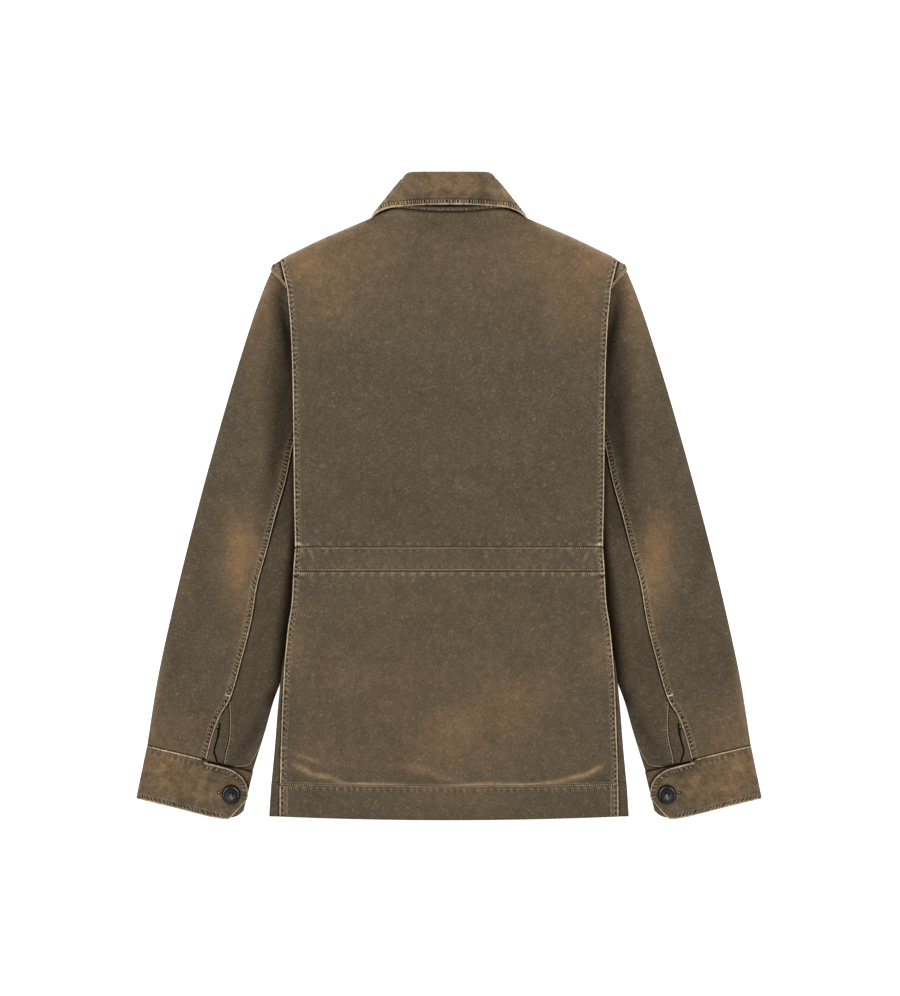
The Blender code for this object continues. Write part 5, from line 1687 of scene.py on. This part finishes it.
def place_on(panel, row, column):
    """Points on a panel's face at grid places that may lie between its own."""
    rows, columns = panel.face.shape[:2]
    row = np.clip(row, 0, rows - 1.001)
    column = np.clip(column, 0, columns - 1.001)
    i, j = row.astype(int), column.astype(int)
    u, v = (row - i)[:, None], (column - j)[:, None]

    def between(grid):
        return ((grid[i, j] * (1 - v) + grid[i, j + 1] * v) * (1 - u)
                + (grid[i + 1, j] * (1 - v) + grid[i + 1, j + 1] * v) * u)

    return between(panel.face), unit(between(panel.lie))


def stitch_line(points, lies, pitch, length, first=0.5):
    """Stitches along a line of points; first: how many pitches in the first one is."""
    runs = runs_along(points)
    starts = np.arange(first * pitch, runs[-1] - length, pitch)

    def at(run, values):
        return np.stack([np.interp(run, runs, values[:, k]) for k in range(3)], -1)

    return Stitches(at(starts, points), at(starts + length, points), unit(at(starts, lies)))


def sew(panel, row, column, pitch=3.0, length=2.2):
    """Stitches along a line of grid places; one of row and column may be a single number."""
    row, column = np.broadcast_arrays(np.asarray(row, float), np.asarray(column, float))
    return stitch_line(*place_on(panel, row, column), pitch, length)


def facing_up(starts, ends):
    starts, ends = np.array(starts), np.array(ends)
    return Stitches(starts, ends, np.zeros(starts.shape) + (0.0, 0.0, 1.0))


def stitch_mesh(name, groups, radius, material):
    """One mesh of all the stitches of some rows."""
    starts = np.concatenate([g.starts for g in groups])
    ends = np.concatenate([g.ends for g in groups])
    lies = np.concatenate([g.lies for g in groups])
    sideways = unit(np.cross(ends - starts, lies))
    rings = []
    for share, thick, high in CAPSULE:
        centre = starts + (ends - starts) * share + lies * radius * high
        for k in range(CAPSULE_SIDES):
            turn = 2 * math.pi * k / CAPSULE_SIDES
            round_it = sideways * math.cos(turn) + lies * math.sin(turn)
            rings.append(centre + radius * thick * round_it)
    points = np.stack(rings, 1)
    per = points.shape[1]
    faces = []
    for r in range(len(CAPSULE) - 1):
        for k in range(CAPSULE_SIDES):
            a, b = r * CAPSULE_SIDES + k, r * CAPSULE_SIDES + (k + 1) % CAPSULE_SIDES
            faces.append((a, b, b + CAPSULE_SIDES, a + CAPSULE_SIDES))
    caps = np.array([list(range(CAPSULE_SIDES))[::-1],
                     [per - CAPSULE_SIDES + k for k in range(CAPSULE_SIDES)]])
    first = (np.arange(len(points)) * per)[:, None, None]
    quads = (np.array(faces) + first).reshape(-1, 4)
    caps = (caps + first).reshape(-1, CAPSULE_SIDES)
    flat = points.reshape(-1, 3)
    return make_mesh(name, flat, quads.tolist() + caps.tolist(), {}, material)


def cotton_thread(name, colour):
    material, tree, shader = new_material(name)
    worn = speckle(tree, 7.0, 2.0, 21.0).over(0.3, 0.7)
    pale = tuple(min(1.0, c * 1.35) for c in colour)
    dull = tuple(c * 0.62 for c in colour)
    tree.links.new(mix(tree, worn, dull, pale), shader.inputs["Base Color"])
    add_bump(tree, shader, speckle(tree, 0.35, 2.0, 22.0), 0.5, 0.1)
    tree.links.new((worn * 0.1 + 0.8).socket, shader.inputs["Roughness"])
    shader.inputs["Specular IOR Level"].default_value = 0.2
    return material


tan_thread = cotton_thread("tan_thread", THREAD)
pale_thread = cotton_thread("pale_thread", (0.34, 0.31, 0.27))
worn_thread = cotton_thread("worn_thread", (0.100, 0.078, 0.052))
print("a stitch has", CAPSULE_FACES, "faces")

# %% [markdown]
# ## Rows of stitches
# Two rows follow each side seam, one the hem, one each edge of the waist strip, two the
# back seam of each sleeve, and one the edges of the collar and the stand. A row is a line
# of places on a panel's grid, so it follows every crease of the cloth.

# %% Rows of stitches


def column_at(distance):
    """The place in the grid of a distance from its edge."""
    return np.interp(distance, EDGE_COLUMNS, range(len(EDGE_COLUMNS)))


last_column = back_x.shape[1] - 1
rows_up = np.arange(0.0, BACK_ROWS - 1.0, 0.5)
body_sewing = []
for column in column_at(SIDE_ROWS):
    body_sewing.append(sew(back, rows_up, column))
    body_sewing.append(sew(back, rows_up, last_column - column))
side_stitches = stitch_mesh("back_stitches", body_sewing, 0.40, worn_thread)
hem_row = np.interp(HEM_SEWING_Y, levels, range(BACK_ROWS))
hem_sewing = sew(back, hem_row, np.arange(0.0, last_column, 0.25), 2.6, 1.15)
hem_stitches = stitch_mesh("hem_stitches", [hem_sewing], 0.66, tan_thread)

strip_rows, strip_columns = strip.face.shape[:2]
strip_across = np.arange(0.0, strip_columns - 1.0, 0.5)
strip_sewing = [sew(strip, row, strip_across, 2.5, 1.15) for row in (1.2, strip_rows - 2.5)]
strip_stitches = stitch_mesh("waist_strip_stitches", strip_sewing, 0.54, tan_thread)

top_stitches = {}
rows_down = np.arange(0.10 * SLEEVE_ROWS, 0.99 * SLEEVE_ROWS, 0.5)
for side_name, panel in tops.items():
    sewing = [sew(panel, rows_down, column, 2.9, 2.1) for column in column_at(SLEEVE_SEWING)]
    top_stitches[side_name] = stitch_mesh(
        "sleeve_" + side_name + "_stitches", sewing, 0.33, worn_thread)

fall_columns = np.arange(26.0, fall_points.shape[1] - 27.0, 0.25)
fall_row = np.interp(6.0, edge[::-1, fall_points.shape[1] // 2], range(len(fall_rows))[::-1])
fall_stitches = stitch_mesh(
    "collar_stitches", [sew(fall, fall_row, fall_columns, 2.8, 2.0)], 0.34, worn_thread)
stand_columns = np.arange(14.0, stand_points.shape[1] - 15.0, 0.25)
stand_stitches = stitch_mesh(
    "stand_stitches", [sew(stand, 17.4, stand_columns, 2.8, 2.0)], 0.34, tan_thread)
print("side seams:", len(side_stitches.data.polygons) // CAPSULE_FACES, "stitches")

# %% [markdown]
# ## Sewing on the cuffs
# On a cuff the row follows the outline, round the tab too. The buttonhole is a keyhole: an
# eyelet with a ring of short stitches, and a slit that runs from it to the button. A hole
# could be cut, but at this size a pale knot in a dark ring reads the same. The dark ring and
# the dark along the slit are painted shadow, made of dark capsules.

# %% Cuff stitches and buttonholes
BUTTONHOLE = np.array([275.8, -355.4, 3.0 * FACED + 2.0 * GAP + 0.1])


def on_cuff(panel, along, down):
    """Points on the cuff's top ply, by place along it and down it, on the right cuff."""
    plan = cuff_plan(along, down)
    face = folded_over(panel.face[:, -TOP_STATIONS:].reshape(-1, 3))
    nearest = [np.argmin(((face[:, :2] - place) ** 2).sum(1)) for place in plan]
    return with_height(plan, face[nearest, 2])


def cuff_sewing_line(panel):
    """A line inside the cuff's outline, from its lower outer corner round the tab."""
    places = np.linspace(4.0, 126.2, 110)
    tab_begins = TAB_PLACES[0].along
    upper, lower = np.where(places > tab_begins, tab_edges(np.maximum(places, tab_begins)).T,
                            ((0.0,), (CUFF_HEIGHT,)))
    inset = 3.0 * ease(112.0, 126.0, places)
    top = on_cuff(panel, places, upper + 4.6 + inset)
    low = on_cuff(panel, places, lower - 5.0 - inset)
    return np.concatenate([low, top[::-1]])


cuff_stitches = {}
slit_shadow = cotton_thread("slit_shadow", (0.022, 0.016, 0.011))
rays = np.array([(math.cos(math.pi * k / 6), math.sin(math.pi * k / 6), 0.0) for k in range(12)])
towards = unit(np.array([*BUTTON_PLACE, BUTTONHOLE[2]]) - BUTTONHOLE)
for side, side_name in SIDES:
    mirror = np.array([side, 1, 1])
    line = cuff_sewing_line(cuffs[side_name]) * mirror
    sewing = stitch_line(line, np.zeros(line.shape) + (0.0, 0.0, 1.0), 2.9, 2.1, 0.4)
    # a pale knot in the eyelet, and painted shadow round it and along the slit to the button
    knot = facing_up((BUTTONHOLE - 0.75 * rays[:6]) * mirror, (BUTTONHOLE + 0.75 * rays[:6]) * mirror)
    shadow = facing_up(
        np.concatenate([BUTTONHOLE + 1.1 * rays, [BUTTONHOLE + 2.6 * towards]]) * mirror,
        np.concatenate([BUTTONHOLE + 2.5 * rays, [BUTTONHOLE + 8.0 * towards]]) * mirror)
    hole = stitch_mesh("buttonhole_" + side_name, [knot], 0.34, tan_thread)
    slit = stitch_mesh("buttonhole_" + side_name + "_slit", [shadow], 0.40, slit_shadow)
    stitches = stitch_mesh("cuff_" + side_name + "_stitches", [sewing], 0.34, worn_thread)
    cuff_stitches[side_name] = [stitches, hole, slit]
print("cuff sewing:", [piece.name for piece in cuff_stitches["left"]])

# %% [markdown]
# ## The thread of the buttons and the bars
# The button's thread crosses between its holes. The bar at the top of the vent is sewn
# back and forth over the seam. Curves could be thread too, but the stitches' own capsules
# are at hand and keep to one kind of mesh.

# %% Button thread and vent bars
# from and to: places across and up the square of holes, whose corners are at -1 and 1
STRANDS = (((-1.0, -1.0), (1.0, -1.0)), ((-1.0, -1.2), (1.0, -1.2)), ((0.0, -1.1), (0.0, 0.5)))
DISH_TOP = 2.42                # just above the dish of the button
BAR_PLACE = np.array([263.6, -239.4, UPPER_PLY + STEP + CLOTH / 2.0 + 0.15])
button_threads = {}
vent_bars = {}
for side, side_name in SIDES:
    dish = np.array([side * BUTTON_PLACE[0], BUTTON_PLACE[1], BUTTON_BOTTOM + DISH_TOP])
    strands = facing_up([dish + (*hole_place(*a), 0.0) for a, b in STRANDS],
                        [dish + (*hole_place(*b), 0.0) for a, b in STRANDS])
    button_threads[side_name] = stitch_mesh("button_thread_" + side_name, [strands], 0.20, pale_thread)
    bars = facing_up([(BAR_PLACE + (-1.9, -0.5 - 0.46 * k, 0.0)) * (side, 1, 1) for k in range(4)],
                     [(BAR_PLACE + (5.1, 1.7 - 0.46 * k, 0.0)) * (side, 1, 1) for k in range(4)])
    vent_bars[side_name] = stitch_mesh("vent_bar_" + side_name, [bars], 0.30, tan_thread)
print("threads:", len(button_threads), "bars:", len(vent_bars))

# %% [markdown]
# ## Joining the frame
# Each piece rides on the jacket's one body and stands for the solid that it dresses, which
# is hidden. The sizes of the cuts could be typed in. They are measured on the grids instead,
# so that they stay true when a curve is changed.

# %% Ride and replace


def dress(piece, node, slot):
    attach(piece, "root")
    if node:
        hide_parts(node)


def declare(panel):
    flat, area = cut_of(panel.grid)


for panel, node, slot in ((back, "back", "cloth"), (strip, "waist_strip", "cloth"),
                          (fall, "collar_fall", "faded_cloth"), (stand, "collar_stand", "cloth")):
    dress(panel.piece, node, slot)
for extra in (side_stitches, hem_stitches, strip_stitches, fall_stitches, stand_stitches):
    dress(extra, None, "cloth")
declare(back)
declare(strip)
declare(fall)
declare(stand)
for side, side_name in SIDES:
    top, cuff = tops[side_name], cuffs[side_name]
    for panels, node, slot in ((fronts, "front_", "cloth"), (tops, "sleeve_top_", "cloth"),
                               (unders, "sleeve_under_", "cloth"),
                               (plackets, "vent_placket_", "cloth"),
                               (cuffs, "cuff_", "faded_cloth")):
        dress(panels[side_name].piece, node + side_name, slot)
    dress(buttons[side_name], "cuff_button_" + side_name, "button")
    dress(button_threads[side_name], None, "cloth")
    extras = [top_stitches[side_name], vent_bars[side_name]]
    for extra in extras + cuff_stitches[side_name]:
        dress(extra, None, "cloth")
    declare(fronts[side_name])
    declare(top)
    declare(unders[side_name])
    declare(plackets[side_name])
    declare(cuff)

# %% [markdown]
# ## Floor, light and camera
# The jacket is photographed from straight above on white. A wide soft light overhead and
# a bright surround give the even look, and a smaller, lower light beyond the collar keeps
# the relief of the seams. The camera stands three metres up, as one on a boom would.

# %% Stage
IMAGE = (900, 996)
PIXEL = 1.2 * MM                       # what one pixel covers on the floor
CENTRE_PIXEL = (449.0, 495.65)         # where the jacket's origin is in the picture
CAMERA_HEIGHT = 3.0

bpy.ops.mesh.primitive_plane_add(size=9.0, location=(0.0, 0.0, -0.0006))
floor = bpy.context.object
floor.name = "floor"
floor_paint = new_material("floor_paint")[0]
floor_sockets = floor_paint.node_tree.nodes["Principled BSDF"].inputs
for socket, value in (("Base Color", (0.93, 0.93, 0.93, 1.0)), ("Roughness", 0.9),
                      ("Emission Color", (1.0, 1.0, 1.0, 1.0)), ("Emission Strength", 0.45)):
    floor_sockets[socket].default_value = value
floor.data.materials.append(floor_paint)
floor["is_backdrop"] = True


def soft_light(name, place, size, power):
    light = bpy.data.lights.new(name, "AREA")
    light.shape = "DISK"
    light.size = size
    light.energy = power
    lamp = bpy.data.objects.new(name, light)
    lamp.location = place
    bpy.context.scene.collection.objects.link(lamp)
    aim = lamp.constraints.new("TRACK_TO")
    aim.target = floor
    aim.track_axis = "TRACK_NEGATIVE_Z"
    aim.up_axis = "UP_Y"
    return lamp


soft_light("overhead_light", (0.0, 0.3, 3.4), 2.6, 60.0)
soft_light("relief_light", (0.0, 2.4, 1.7), 0.9, 30.0)
surround = bpy.data.worlds.new("surround")
bpy.context.scene.world = surround
surround.use_nodes = True
sky = surround.node_tree.nodes["Background"]
sky.inputs["Color"].default_value = (1.0, 1.0, 1.0, 1.0)
sky.inputs["Strength"].default_value = 0.62

lens = bpy.data.cameras.new("camera")
lens.sensor_width = 36.0
lens.lens = 36.0 * CAMERA_HEIGHT / (IMAGE[1] * PIXEL)
camera = bpy.data.objects.new("camera", lens)
camera.location = ((IMAGE[0] / 2 - CENTRE_PIXEL[0]) * PIXEL,
                   (CENTRE_PIXEL[1] - IMAGE[1] / 2) * PIXEL, CAMERA_HEIGHT)
bpy.context.scene.collection.objects.link(camera)
bpy.context.scene.camera = camera
bpy.context.scene.view_settings.view_transform = "Standard"
print("camera", tuple(round(v, 4) for v in camera.location), "lens", round(lens.lens, 2))

# %% [markdown]
# ## Size
# The dressed jacket has to be as large as its solids. That could be judged by eye, but
# numbers show a millimetre. Both boxes are printed.

# %% Compare the sizes
bpy.context.view_layer.update()
low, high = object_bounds()
sizes = {"cad": [list(cad_low), list(cad_high)], "visual": [list(low), list(high)]}
for which, (a, b) in sizes.items():
    print(which, [round((q - p) / MM, 1) for p, q in zip(a, b)])
